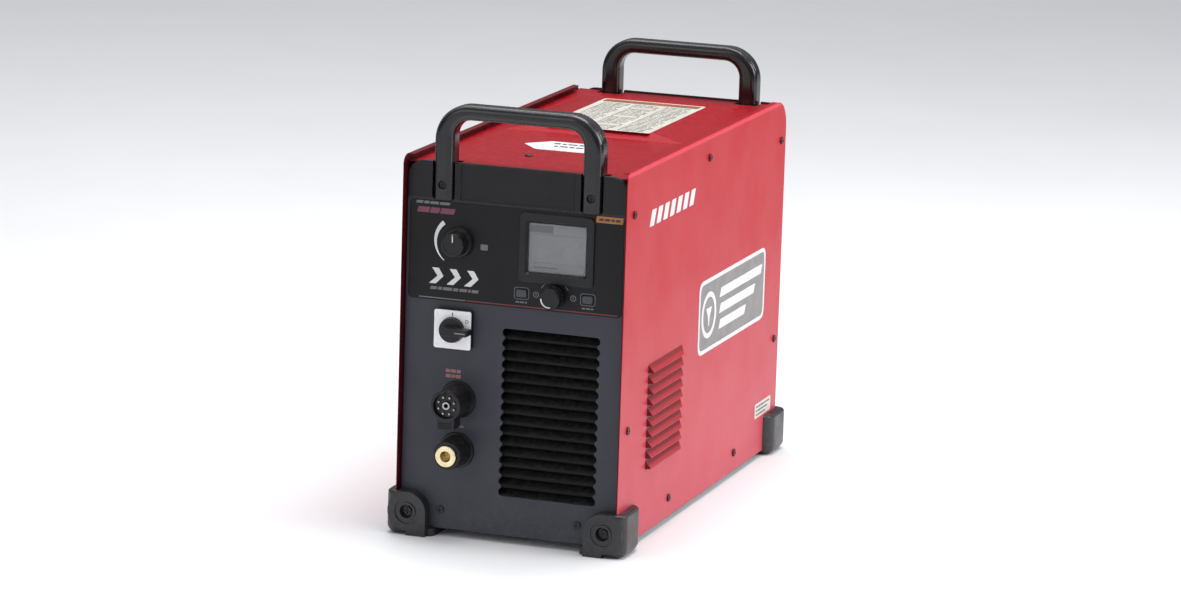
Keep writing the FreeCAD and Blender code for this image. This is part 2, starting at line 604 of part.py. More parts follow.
def power_switch_plate():
    plate = plate_xz(SWITCH, SWITCH_SQUARE, SWITCH_SQUARE, 2.5, SWITCH_FACE - 1.5, SWITCH_FACE - 0.05)
    plate = plate.makeFillet(0.5, edges_at(plate, "y", SWITCH_FACE - 1.5))
    corners = on_circle(SWITCH, 17.5 * math.sqrt(2), 4, 45)
    holes = [rod_y(c, 1.8, SWITCH_FACE - 3, SWITCH_FACE - 1.0) for c in corners]
    return plate.cut([rod_y(SWITCH, 6.0, SWITCH_FACE - 3, SWITCH_FACE + 1)] + holes)


def power_switch_knob():
    """A round skirt with a lever that points to the right at rest."""
    x, z = SWITCH
    skirt = cone_y(SWITCH, 15.5, 14.5, SWITCH_KNOB_BACK, SWITCH_KNOB_BACK - 6)
    top = SWITCH_KNOB_BACK - 18.0
    pts = [Vector(x - 9, 0, z - 5), Vector(x + 8, 0, z - 5), Vector(x + 25, 0, z - 3.6),
           Vector(x + 25, 0, z + 3.6), Vector(x + 8, 0, z + 5), Vector(x - 9, 0, z + 5)]
    low = SWITCH_KNOB_BACK - 3
    lever = outline([p + Vector(0, low, 0) for p in pts], Vector(0, top - low, 0))
    lever = lever.makeFillet(1.6, [e for e in lever.Edges if e.BoundBox.YMax < top + 0.1
                                   or e.BoundBox.XLength < 0.01
                                   and e.BoundBox.ZLength < 0.01])
    mark = box(x + 9, x + 23, top - 1, top + 0.8, z - 0.8, z + 0.8)
    return join(skirt, lever, rod_y(SWITCH, 3.5, SWITCH_KNOB_BACK - 1, FRONT + 16)).cut(mark)


# ---- torch and work sockets ----------------------------------------------------------------------------
TORCH_R, TORCH_NECK, TORCH_IN = 18.4, 18.8, 15.2      # barrel, neck through the panel, bore
WORK_NECK, CONTACT_R = 15.0, 12.8
WORK_BORE_R, WORK_BORE_L = 6.6, 32.0


def torch_socket_shell():
    """A round barrel with a latch under its mouth."""
    flange = cone_y(TORCH, 22.5, 21.5, FRONT - 0.05, FRONT - 3)
    barrel = rod_y(TORCH, TORCH_R, -REACH, FRONT - 2)
    neck = rod_y(TORCH, TORCH_NECK, FRONT - 1, -289)
    nut = rod_y(TORCH, 25.0, FRONT_BACK + GAP, FRONT_BACK + 6)
    shell = join(flange, barrel, neck, nut)
    shell = shell.makeFillet(0.8, [e for e in edges_at(shell, "y", -REACH)])
    low = TORCH[1] - TORCH_R - 11
    latch = box(TORCH[0] - 11, TORCH[0] + 11, -REACH + 1, -REACH + 22, low, TORCH[1] - TORCH_R + 5)
    latch = latch.makeFillet(4.0, edges_along(latch, "y", lambda e: e.BoundBox.ZMax < low + 1))
    latch = latch.makeFillet(1.0, [e for e in edges_at(latch, "y", -REACH + 1) if e.BoundBox.ZMin < low + 10])
    ribs = [box(TORCH[0] - 8, TORCH[0] + 8, -REACH, -REACH + 2.0, low + 3 + 2.6 * i, low + 4.3 + 2.6 * i)
            for i in range(3)]
    shell = join(shell, latch.cut(ribs))
    key = box(TORCH[0] - 2, TORCH[0] + 2, -REACH - 1, -REACH + 12, TORCH[1] + 12, TORCH[1] + 16.6)
    return shell.cut([rod_y(TORCH, TORCH_IN, -REACH - 1, -288), key])


PIN_CIRCLE, PINS = 10.4, 8


def torch_socket_insert():
    disc = rod_y(TORCH, TORCH_IN - 0.2, -REACH + 5, -291)
    disc = disc.makeFillet(0.6, edges_at(disc, "y", -REACH + 5))
    holes = [rod_y(c, 1.55, -REACH, -285) for c in on_circle(TORCH, PIN_CIRCLE, PINS, 22.5)]
    return disc.cut(holes + [rod_y(TORCH, 4.7, -REACH, -285)])


def torch_contacts():
    centre = rod_y(TORCH, 4.6, -REACH + 2.0, -268).cut(rod_y(TORCH, 2.6, -REACH, -260))
    pins = []
    for c in on_circle(TORCH, PIN_CIRCLE, PINS, 22.5):
        pin = rod_y(c, 1.5, -REACH + 2.5, -284)
        pins.append(pin.makeFillet(0.7, edges_at(pin, "y", -REACH + 2.5)))
    return group([centre] + pins)


def work_socket_housing():
    flange = cone_y(WORK, 22.0, 21.0, FRONT - 0.05, FRONT - 3)
    body = cone_y(WORK, 18.8, 17.0, FRONT - 2, -REACH + 8)
    neck = rod_y(WORK, WORK_NECK, FRONT - 1, -289)
    nut = rod_y(WORK, 19.5, FRONT_BACK + GAP, FRONT_BACK + 5)
    shell = join(flange, body, neck, nut)
    shell = shell.makeFillet(1.2, edges_at(shell, "y", -REACH + 8))
    grooves = [rod(x, -REACH + 4, z, 1.2, 26) for x, z in on_circle(WORK, 18.7, 16)]
    return shell.cut([rod_y(WORK, CONTACT_R + 0.2, -REACH, -280)] + grooves)


def work_socket_contact():
    mouth = -REACH + 4
    body = rod_y(WORK, CONTACT_R, mouth, -272)
    body = body.makeFillet(1.0, edges_at(body, "y", mouth))
    bore = rod_y(WORK, WORK_BORE_R, mouth - 1, mouth + WORK_BORE_L)
    keyway = box(WORK[0] - 2.2, WORK[0] + 2.2, mouth + 4, mouth + 16, WORK[1], WORK[1] + 9.0)
    lug = box(WORK[0] - 11, WORK[0] + 11, -272.1, -267, WORK[1] - 11, WORK[1] + 11)
    return join(body, lug).cut([bore, keyway])


# ---- rear fittings -------------------------------------------------------------------------------------
def ring_torus(centre, radius, wire_r, y):
    return Part.makeTorus(radius, wire_r, Vector(centre[0], y, centre[1]), AXES["y"])


def fan_guard():
    """Concentric wires on two crossed bars, with a tab at each end."""
    y = PANEL_Y + 5.0
    wires = [ring_torus(FAN, r, 1.3, y) for r in (16, 26, 36, 46, 55)]
    for k in (45, 135):
        dx, dz = math.cos(math.radians(k)), math.sin(math.radians(k))
        half = FAN_HOLE_R
        end = half - 5
        bar = Part.makeCylinder(1.5, 2 * end, Vector(FAN[0] - end * dx, y - 1.6, FAN[1] - end * dz),
                                Vector(dx, 0, dz))
        wires.append(bar)
    guard = join(*wires)
    tabs = []
    for c in FAN_HOLES:
        tab = rod_y(c, 5.5, PANEL_Y + 0.1, PANEL_Y + 4.6)
        tabs.append(tab.cut(rod_y(c, SCREW_R + 0.2, PANEL_Y - 1, PANEL_Y + 9)))
    return join(guard, *tabs)


FAN_Y0, FAN_Y1 = PANEL_BACK - 38.2, PANEL_BACK - GAP


def fan_frame():
    frame = plate_xz(FAN, 119, 119, 6, FAN_Y0, FAN_Y1)
    frame = frame.cut(rod_y(FAN, 56.5, FAN_Y0 - 1, FAN_Y1 + 1))
    waist = plate_xz(FAN, 130, 130, 1, FAN_Y0 + 4.5, FAN_Y1 - 4.5).cut(rod_y(FAN, 59.0, FAN_Y0, FAN_Y1))
    frame = frame.cut(waist)
    hub = rod_y(FAN, 20, FAN_Y0, FAN_Y0 + 4)
    struts = []
    for k in range(4):
        strut = box(FAN[0] - 2, FAN[0] + 2, FAN_Y0, FAN_Y0 + 4, FAN[1] + 18, FAN[1] + 58)
        strut.rotate(Vector(FAN[0], 0, FAN[1]), AXES["y"], 90 * k + 20)
        struts.append(strut)
    frame = join(frame, hub, *struts)
    holes = [rod_y(c, SCREW_R + 0.1, FAN_Y0 - 1, FAN_Y1 + 1) for c in FAN_HOLES]
    return frame.cut(holes + [rod_y(FAN, 2.56, FAN_Y0 - 1, FAN_Y0 + 5)])


BLADES = 7


def fan_rotor():
    """Hub, shaft and seven raked blades."""
    hub = rod_y(FAN, 20.5, FAN_Y0 + 6, FAN_Y1 - 4)
    hub = hub.makeFillet(3.0, edges_at(hub, "y", FAN_Y1 - 4))
    middle = (FAN_Y0 + FAN_Y1) / 2 + 1
    blades = []
    for k in range(BLADES):
        blade = box(-1.1, 1.1, -13.5, 13.5, 19.0, 54.5)
        blade.rotate(ORIGIN, AXES["z"], 48)
        blade.translate(Vector(FAN[0], middle, FAN[1]))
        blade.rotate(Vector(FAN[0], 0, FAN[1]), AXES["y"], 360.0 * k / BLADES)
        blades.append(blade)
    wheel = join(hub, *blades)
    swept = rod_y(FAN, 54.5, FAN_Y0 + 5.5, FAN_Y1 - 3)
    return join(wheel.common(swept), rod_y(FAN, 2.5, FAN_Y0 + 0.5, FAN_Y0 + 8))


def fan_screws():
    return group([screw(x, PANEL_Y + 4.65, z, "y", -1, 12, 4.2) for x, z in FAN_HOLES])


GLAND_BORE_R, GLAND_END = 7.5, 340.0


def mains_gland():
    """A compression gland, open for the mains cable."""
    hexagon = outline([Vector(x, PANEL_Y + 0.1, z) for x, z in on_circle(GLAND, 17.5, 6)], Vector(0, 8, 0))
    thread = rod_y(GLAND, 12.0, PANEL_BACK - 14, PANEL_Y + 16)
    cap_hex = outline([Vector(x, PANEL_Y + 12, z) for x, z in on_circle(GLAND, 17.0, 6, 10)],
                      Vector(0, 11, 0))
    dome = cone_y(GLAND, 14.2, 10.5, PANEL_Y + 22, GLAND_END)
    nut = outline([Vector(x, PANEL_BACK - 6, z) for x, z in on_circle(GLAND, 17.5, 6, 20)],
                  Vector(0, 5.8, 0))
    body = join(hexagon, thread, cap_hex, dome, nut)
    return body.cut(rod_y(GLAND, GLAND_BORE_R, PANEL_BACK - 20, GLAND_END + 1))


CNC_R = 11.5
CNC_PIVOT = (PANEL_Y + 5.5, CNC[1] + 19.5)      # (y, z) of the dust cap's hinge


def cnc_socket():
    flange = plate_xz(CNC, 34, 34, 3, PANEL_Y + 0.05, PANEL_Y + 3)
    shell = rod_y(CNC, CNC_R, PANEL_Y + 2, PANEL_Y + 15)
    rear = rod_y(CNC, 12.0, PANEL_BACK - 12, PANEL_Y + 1)
    ears = [box(x - 1.5, x + 1.5, PANEL_Y + 2, PANEL_Y + 8.5, CNC[1] + 15, CNC[1] + 23)
            for x in (CNC[0] - 8, CNC[0] + 8)]
    pivot = rod(CNC[0] - 9.5, CNC_PIVOT[0], CNC_PIVOT[1], 1.5, 19, "x")
    body = join(flange, shell, rear, *ears)
    body = body.cut([rod_y(CNC, 9.6, PANEL_Y + 6, PANEL_Y + 20)])
    pins = [rod_y(CNC, 1.0, PANEL_Y + 5, PANEL_Y + 12)]
    pins += [rod_y(c, 1.0, PANEL_Y + 5, PANEL_Y + 12) for c in on_circle(CNC, 3.6, 5)]
    pins += [rod_y(c, 1.0, PANEL_Y + 5, PANEL_Y + 12) for c in on_circle(CNC, 7.2, 8)]
    return join(body, pivot, *pins)


def cnc_cap():
    """A round lid whose knuckle turns on the pin between the socket's ears."""
    y, z = CNC_PIVOT
    lid = rod_y(CNC, 13.2, PANEL_Y + 15.3, PANEL_Y + 18.3)
    lid = lid.makeFillet(1.0, edges_at(lid, "y", PANEL_Y + 18.3))
    rim = rod_y(CNC, 13.2, PANEL_Y + 11.5, PANEL_Y + 15.5).cut(rod_y(CNC, 12.0, PANEL_Y + 11, PANEL_Y + 16))
    rim = rim.cut(box(CNC[0] - 20, CNC[0] + 20, PANEL_Y, PANEL_Y + 20, CNC[1] - 20, CNC[1] - 3))
    arm = box(CNC[0] - 4.5, CNC[0] + 4.5, PANEL_Y + 9.5, PANEL_Y + 18.3, CNC[1] + 12.2, CNC[1] + 16)
    arm2 = box(CNC[0] - 4.5, CNC[0] + 4.5, y - 0.5, PANEL_Y + 15.0, z - 4.5, z + 1.8)
    knuckle = rod(CNC[0] - 6.0, y, z, 3.2, 12.0, "x")
    cap = join(lid, rim, arm, arm2, knuckle)
    return cap.cut([rod(CNC[0] - 12, y, z, 1.56, 24, "x")])


def breaker_body():
    collar = outline([Vector(x, PANEL_Y + 0.1, z) for x, z in on_circle(BREAKER, 10.5, 6)], Vector(0, 4, 0))
    neck = rod_y(BREAKER, 6.0, PANEL_BACK - 2, PANEL_Y + 7)
    can = plate_xz(BREAKER, 16, 32, 2, PANEL_BACK - 36, PANEL_BACK - GAP)
    return join(collar, neck, can).cut(rod_y(BREAKER, 4.06, PANEL_BACK - 12, PANEL_Y + 8))


def breaker_button():
    button = rod_y(BREAKER, 4.0, PANEL_BACK - 8, PANEL_Y + 10)
    return button.makeFillet(0.8, edges_at(button, "y", PANEL_Y + 10))


AIR_Y = PANEL_Y + 21.0        # the filter's upright axis
AIR_BLOCK = (120.0, 164.0)
AIR_PORT_R, AIR_PORT_L = 5.7, 12.0
AIR_PORT_Z = 142.0


def air_regulator():
    """Filter-regulator block: inlet on its left, a neck through the panel, bowl below and knob above."""
    x = AIR[0]
    z0, z1 = AIR_BLOCK
    block = box(x - 21, x + 21, PANEL_Y + 1.0, REACH - 6.0, z0, z1)
    block = block.makeFillet(4.0, edges_along(block, "z"))
    collar = rod(x, AIR_Y, z0 - 6, 18.5, 7, "z")
    bonnet = join(Part.makeCone(17, 14, 12, Vector(x, AIR_Y, z1 - 1), AXES["z"]),
                  rod(x, AIR_Y, z1 + 9, 11, 9, "z"))
    neck = rod_y(AIR, 8.0, PANEL_BACK - 14, PANEL_Y + 2)
    inlet = rod(x - 20, AIR_Y, AIR_PORT_Z, 9.5, -7, "x")
    body = join(block, collar, bonnet, neck, inlet)
    port = rod(x - 28, AIR_Y, AIR_PORT_Z, AIR_PORT_R, AIR_PORT_L + 1, "x")
    stem = rod(x, AIR_Y, z1 + 2, 3.06, 20, "z")
    nose = rod_y(AIR, 4.0, PANEL_BACK - 15, PANEL_Y + 10)
    gauge_seat = rod_y((x, AIR_PORT_Z), 5.2, REACH - 12, REACH)
    return body.cut([port, stem, nose, gauge_seat])


def filter_bowl():
    x, top = AIR[0], AIR_BLOCK[0] - 6.2
    bowl = rod(x, AIR_Y, top, 17.5, -50, "z")
    bowl = bowl.makeFillet(8.0, edges_at(bowl, "z", top - 50))
    hollow = rod(x, AIR_Y, top + 1, 15.2, -48, "z")
    drain = rod(x, AIR_Y, top - 46, 5.0, -14, "z")
    return join(bowl.cut(hollow), drain).cut(rod(x, AIR_Y, top - 40, 2.56, -30, "z"))


DRAIN_TRAVEL = 2.0


def drain_valve():
    """A spring-loaded stem in the bowl's outlet, pushed up to let water out."""
    x, top = AIR[0], AIR_BLOCK[0] - 6.2
    return join(rod(x, AIR_Y, top - 44, 2.5, -22, "z"),
                rod(x, AIR_Y, top - 60 - DRAIN_TRAVEL - 0.4, 4.2, -3.6, "z"))


def regulator_knob():
    x, low = AIR[0], AIR_BLOCK[1] + 19.0
    knob = Part.makeCone(16.5, 15.0, 22, Vector(x, AIR_Y, low), AXES["z"])
    knob = knob.makeFillet(1.8, edges_at(knob, "z", low + 22))
    flutes = [rod(x + 16.6 * math.cos(a), AIR_Y + 16.6 * math.sin(a), low + 2, 1.6, 30, "z")
              for a in (2 * math.pi * i / 16 for i in range(16))]
    return join(knob.cut(flutes), rod(x, AIR_Y, AIR_BLOCK[1] + 4, 3.0, 18, "z"))


def pressure_gauge():
    c = (AIR[0], AIR_PORT_Z)
    case = rod_y(c, 20.0, REACH - 5.8, REACH)
    case = case.makeFillet(0.8, edges_at(case, "y", REACH))
    dial = rod_y(c, 18.2, REACH - 1.6, REACH + 1)
    return join(case, rod_y(c, 5.0, REACH - 11.5, REACH - 5)).cut(dial)


# ---- inside --------------------------------------------------------------------------------------------
DECK_Z = 266.0
WALL_X = -22.0
BAY_Y = 262.0 - 4.0


def deck_plate():
    """The shelf between the wind tunnel and the control bay."""
    x = PAN_X - 0.3
    front = -PANEL_Y + PANEL_FLANGE + 2
    plate = box(-x, x, front, BAY_Y, DECK_Z, DECK_Z + SHEET)
    rims = [box(x0, x0 + SHEET, front, BAY_Y, DECK_Z, DECK_Z + 18) for x0 in (x - SHEET, -x)]
    holes = [box(-120, -86, -100, 100, DECK_Z - 1, DECK_Z + 3),
             box(-120, -60, 200, 240, DECK_Z - 1, DECK_Z + 3),
             box(SWITCH[0] - 24, SWITCH[0] + 24, front - 1, -222, DECK_Z - 1, DECK_Z + 3)]
    return join(plate, *rims).cut(holes)


def tunnel_wall():
    wall = box(WALL_X, WALL_X + SHEET, -284, BAY_Y, PAN_Z + SHEET + GAP, DECK_Z - GAP)
    foot_flange = box(WALL_X - 14, WALL_X + 1, -284, BAY_Y, PAN_Z + SHEET + GAP, PAN_Z + 2 * SHEET + GAP)
    windows = [box(WALL_X - 1, WALL_X + 3, y - 22, y + 22, z - 18, z + 18) for y, z in MODULES]
    return join(wall, foot_flange).cut(windows)


SINKS = ((24.0, 124.0), (142.0, 242.0))         # the heat sinks' lowest and highest z
SINK_Y = (-70.0, 150.0)
MODULES = tuple((y, (z0 + z1) / 2) for z0, z1 in SINKS for y in (-30.0, 40.0, 110.0))


def heat_sinks():
    """Two finned extrusions along the air stream, their backs on the tunnel wall."""
    made = []
    x0 = WALL_X + SHEET + GAP
    for z0, z1 in SINKS:
        back = box(x0, x0 + 9, SINK_Y[0], SINK_Y[1], z0, z1)
        count = 11
        pitch = (z1 - z0 - 2.4) / (count - 1)
        fins = [box(x0 + 8, x0 + 66, SINK_Y[0], SINK_Y[1], z0 + pitch * i, z0 + pitch * i + 2.4)
                for i in range(count)]
        made.append(join(back, *fins))
    return group(made)


def power_modules():
    x1 = WALL_X + SHEET + GAP - 0.05
    return group([box(x1 - 14, x1, y - 20, y + 20, z - 16, z + 16) for y, z in MODULES])


BUS_X = WALL_X - 14.0


def inverter_board():
    board = box(BUS_X - 1.8, BUS_X, -90, 170, 22, 250)
    return board.cut([rod(BUS_X - 3, y, z, 2.2, 6, "x") for y in (-84, 164) for z in (28, 244)])


def capacitor_bank():
    """Six bus capacitors standing out from the inverter board."""
    cans = []
    for y in (-55, 0, 55):
        for z in (62, 112):
            can = rod(BUS_X - 2.0, y, z, 17.5, -42, "x")
            cans.append(can.makeFillet(1.5, edges_at(can, "x", BUS_X - 44.0)))
    return group(cans)


CORE = (100.0, 90.0)          # centre (x, y) of the transformer
CHOKE = (100.0, -30.0)


def transformer_core():
    x, y = CORE
    z0 = PAN_Z + SHEET + 0.1
    block = box(x - 30, x + 30, y - 42, y + 42, z0, z0 + 84)
    return block.cut([box(x - 31, x + 31, leg - 10, leg + 10, z0 + 16, z0 + 68) for leg in (y - 22, y + 22)])


def transformer_winding():
    x, y = CORE
    z0 = PAN_Z + SHEET + 16.6
    coil = box(x - 34.5, x + 34.5, y - 31.5, y + 31.5, z0 + 1, z0 + 50)
    coil = coil.makeFillet(8.0, edges_along(coil, "z"))
    return coil.cut(box(x - 30.4, x + 30.4, y - 12.4, y + 12.4, z0, z0 + 60))


def choke_core():
    x, y = CHOKE
    z = PAN_Z + SHEET + 50.1
    return rod(x - 20, y, z, 40, 40, "x").cut(rod(x - 21, y, z, 20, 42, "x"))


def choke_winding():
    """Turns round the toroid, with a gap where the ends come out."""
    x, y = CHOKE
    z = PAN_Z + SHEET + 50.1
    turns = []
    for i in range(14):
        a = math.radians(35 + i * 290 / 13)
        turn = box(-24.5, 24.5, -2.7, 2.7, 15.4, 44.6).cut(box(-20.4, 20.4, -4, 4, 19.4, 40.6))
        turn.rotate(ORIGIN, AXES["x"], math.degrees(a))
        turn.translate(Vector(x, y, z))
        turns.append(turn)
    return group(turns)


def control_board():
    """The control board on the deck, with its relays, driver transformers and connectors."""
    z = DECK_Z + SHEET + 10
    board = box(-112, 96, -210, -10, z, z + 1.6)
    parts = [board]
    parts += [rod(x, y, DECK_Z + SHEET + 0.1, 3.0, 9.8, "z") for x in (-106, 90) for y in (-204, -16)]
    components = ((-80, -60, 28, 20, 22), (-40, -60, 28, 20, 22), (0, -60, 22, 22, 26),
                  (40, -60, 22, 22, 26), (-70, -170, 36, 10, 11), (-20, -170, 36, 10, 11),
                  (40, -150, 30, 30, 3), (-60, -120, 18, 40, 16))
    for x, y, w, d, h in components:
        parts.append(box(x - w / 2, x + w / 2, y - d / 2, y + d / 2, z + 1.65, z + 1.6 + h))
    return group(parts)


VALVE = (-104.0, 214.0, 142.0)


def solenoid_valve():
    """The air valve behind the regulator, on the tunnel side of the rear panel."""
    x, y, z = VALVE
    block = box(x - 16, x + 32, y - 18, y + 18, z - 14, z + 14)
    coil = rod(x, y, z + 13, 15, 34, "z")
    outlet = rod(x, y - 17, z, 5.5, -14)
    inlet = rod(AIR[0], y + 17, z, 6.5, 55.3)
    return join(block, coil, outlet, inlet).cut([rod(x, y - 40, z, 3.0, 50), rod(AIR[0], y, z, 3.4, 90)])


HOSE_R = 4.0


def air_tube():
    """The air line from the valve to the back of the torch socket."""
    x, y, z = VALVE
    points = [Vector(x, y - 31.3, z), Vector(x, -150, z), Vector(TORCH[0], -205, TORCH[1]),
              Vector(TORCH[0], -267.8, TORCH[1])]
    return tube_along(points, HOSE_R)


# ---- build and write -----------------------------------------------------------------------------------
def parts():
    front_foot, front_bail = foot(), handle()
    cover = right_cover()
    made = {
        "base_pan": base_pan(),
        "front_panel": front_panel(),
        "rear_panel": rear_panel(),
        "right_cover": cover,
        "left_cover": at_left(cover),
        "top_cover": top_cover(),
        "front_handle": front_bail,
        "rear_handle": at_rear(front_bail),
        "foot_front_right": front_foot,
        "foot_front_left": at_left(front_foot),
        "foot_rear_right": at_rear(front_foot),
        "foot_rear_left": at_rear(at_left(front_foot)),
        "cover_screws": cover_screws(),
        "panel_screws": panel_screws(),
        "handle_screws": handle_screws(),
        "fan_screws": fan_screws(),
        "front_grille": front_grille(),
        "control_overlay": control_overlay(),
        "display_bezel": display_bezel(),
        "display_window": display_window(),
        "display_module": display_module(),
        "display_board": display_board(),
        "current_knob": current_knob(),
        "encoder_shaft": encoder_shaft(),
        "menu_knob": menu_knob(),
        "power_switch_body": power_switch_body(),
        "power_switch_plate": power_switch_plate(),
        "power_switch_knob": power_switch_knob(),
        "torch_socket_shell": torch_socket_shell(),
        "torch_socket_insert": torch_socket_insert(),
        "torch_contacts": torch_contacts(),
        "work_socket_housing": work_socket_housing(),
        "work_socket_contact": work_socket_contact(),
        "fan_guard": fan_guard(),
        "fan_frame": fan_frame(),
        "fan_rotor": fan_rotor(),
        "mains_gland": mains_gland(),
        "cnc_socket": cnc_socket(),
        "cnc_cap": cnc_cap(),
        "breaker_body": breaker_body(),
        "breaker_button": breaker_button(),
        "air_regulator": air_regulator(),
        "filter_bowl": filter_bowl(),
        "drain_valve": drain_valve(),
        "regulator_knob": regulator_knob(),
        "pressure_gauge": pressure_gauge(),
        "deck_plate": deck_plate(),
        "tunnel_wall": tunnel_wall(),
        "heat_sinks": heat_sinks(),
        "power_modules": power_modules(),
        "inverter_board": inverter_board(),
        "capacitor_bank": capacitor_bank(),
        "transformer_core": transformer_core(),
        "transformer_winding": transformer_winding(),
        "output_choke": group([choke_core(), choke_winding()]),
        "control_board": control_board(),
        "solenoid_valve": solenoid_valve(),
        "air_tube": air_tube(),
    }
    return made


def main():
    os.makedirs("parts", exist_ok=True)
    made = parts()
    for name, centre in BUTTONS.items():
        made[name] = push_button(centre)
    for name, shape in sorted(made.items()):
        if not shape.isValid():
            print("not valid:", name)
        shape.exportStep("parts/%s.step" % name)
        b = shape.BoundBox
        print("%-22s %2d solid(s)  x %.1f..%.1f  y %.1f..%.1f  z %.1f..%.1f" % (
            name, len(shape.Solids), b.XMin, b.XMax, b.YMin, b.YMax, b.ZMin, b.ZMax))
    print(len(made), "nodes")


main()
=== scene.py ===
import json
import math

import bmesh
import bpy
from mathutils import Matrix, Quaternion, Vector

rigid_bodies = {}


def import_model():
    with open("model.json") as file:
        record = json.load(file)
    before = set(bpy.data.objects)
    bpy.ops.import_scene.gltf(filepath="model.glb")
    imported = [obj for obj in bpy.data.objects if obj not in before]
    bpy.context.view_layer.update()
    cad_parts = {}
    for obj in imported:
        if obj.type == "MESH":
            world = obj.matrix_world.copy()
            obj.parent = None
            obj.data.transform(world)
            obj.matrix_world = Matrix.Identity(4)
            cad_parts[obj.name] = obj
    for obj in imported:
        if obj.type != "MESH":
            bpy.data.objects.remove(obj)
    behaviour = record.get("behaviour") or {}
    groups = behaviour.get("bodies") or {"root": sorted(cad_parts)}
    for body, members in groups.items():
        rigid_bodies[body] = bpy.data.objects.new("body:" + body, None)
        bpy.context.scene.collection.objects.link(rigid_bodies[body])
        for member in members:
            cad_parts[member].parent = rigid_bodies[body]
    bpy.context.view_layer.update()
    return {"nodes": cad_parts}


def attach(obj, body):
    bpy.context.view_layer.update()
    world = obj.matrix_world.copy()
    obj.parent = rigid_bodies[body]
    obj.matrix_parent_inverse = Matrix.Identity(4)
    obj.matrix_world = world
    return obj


for stray in list(bpy.data.objects):
    bpy.data.objects.remove(stray)
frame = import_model()
NODES = frame["nodes"]

MM = 0.001
FRONT, OVERLAY, REAR = 304.0, 304.6, 304.0    # distances of the end faces from the origin, mm
SIDE = 139.0                                  # outer face of a side cover
DECK, PLATFORM = 448.0, 456.0                 # the top cover's two levels
GLASS, PLATE = 301.4, 313.5                   # faces of the display's window and the switch's plate
CURRENT_GROOVE, MENU_FACE, LEVER_GROOVE = 325.4, 325.0, 331.2     # where the knobs' marks sit
SUNK = 0.03                                   # how far print goes into what carries it


# ---- camera --------------------------------------------------------------------------------------------
def make_camera():
    cam = bpy.data.objects.new("camera", bpy.data.cameras.new("camera"))
    bpy.context.scene.collection.objects.link(cam)
    eye, aim = Vector((1.8628, -5.4160, 1.4228)), Vector((-0.009, -0.006, 0.238))
    cam.location = eye
    cam.rotation_mode = "QUATERNION"
    # the unit stands off the photograph's middle, which tips its uprights: a small roll stands in for that
    cam.rotation_quaternion = (aim - eye).to_track_quat("-Z", "Y") @ Quaternion((0, 0, 1), math.radians(1.8))
    cam.data.sensor_width = 36.0
    cam.data.lens = 145.0
    cam.data.clip_end = 100.0
    bpy.context.scene.camera = cam


make_camera()


# ---- materials -----------------------------------------------------------------------------------------
def linear(*rgb):
    """An 8-bit sRGB colour as linear RGBA."""
    values = [(c / 255) / 12.92 if c <= 10 else ((c / 255 + 0.055) / 1.055) ** 2.4 for c in rgb]
    return (*values, 1.0)


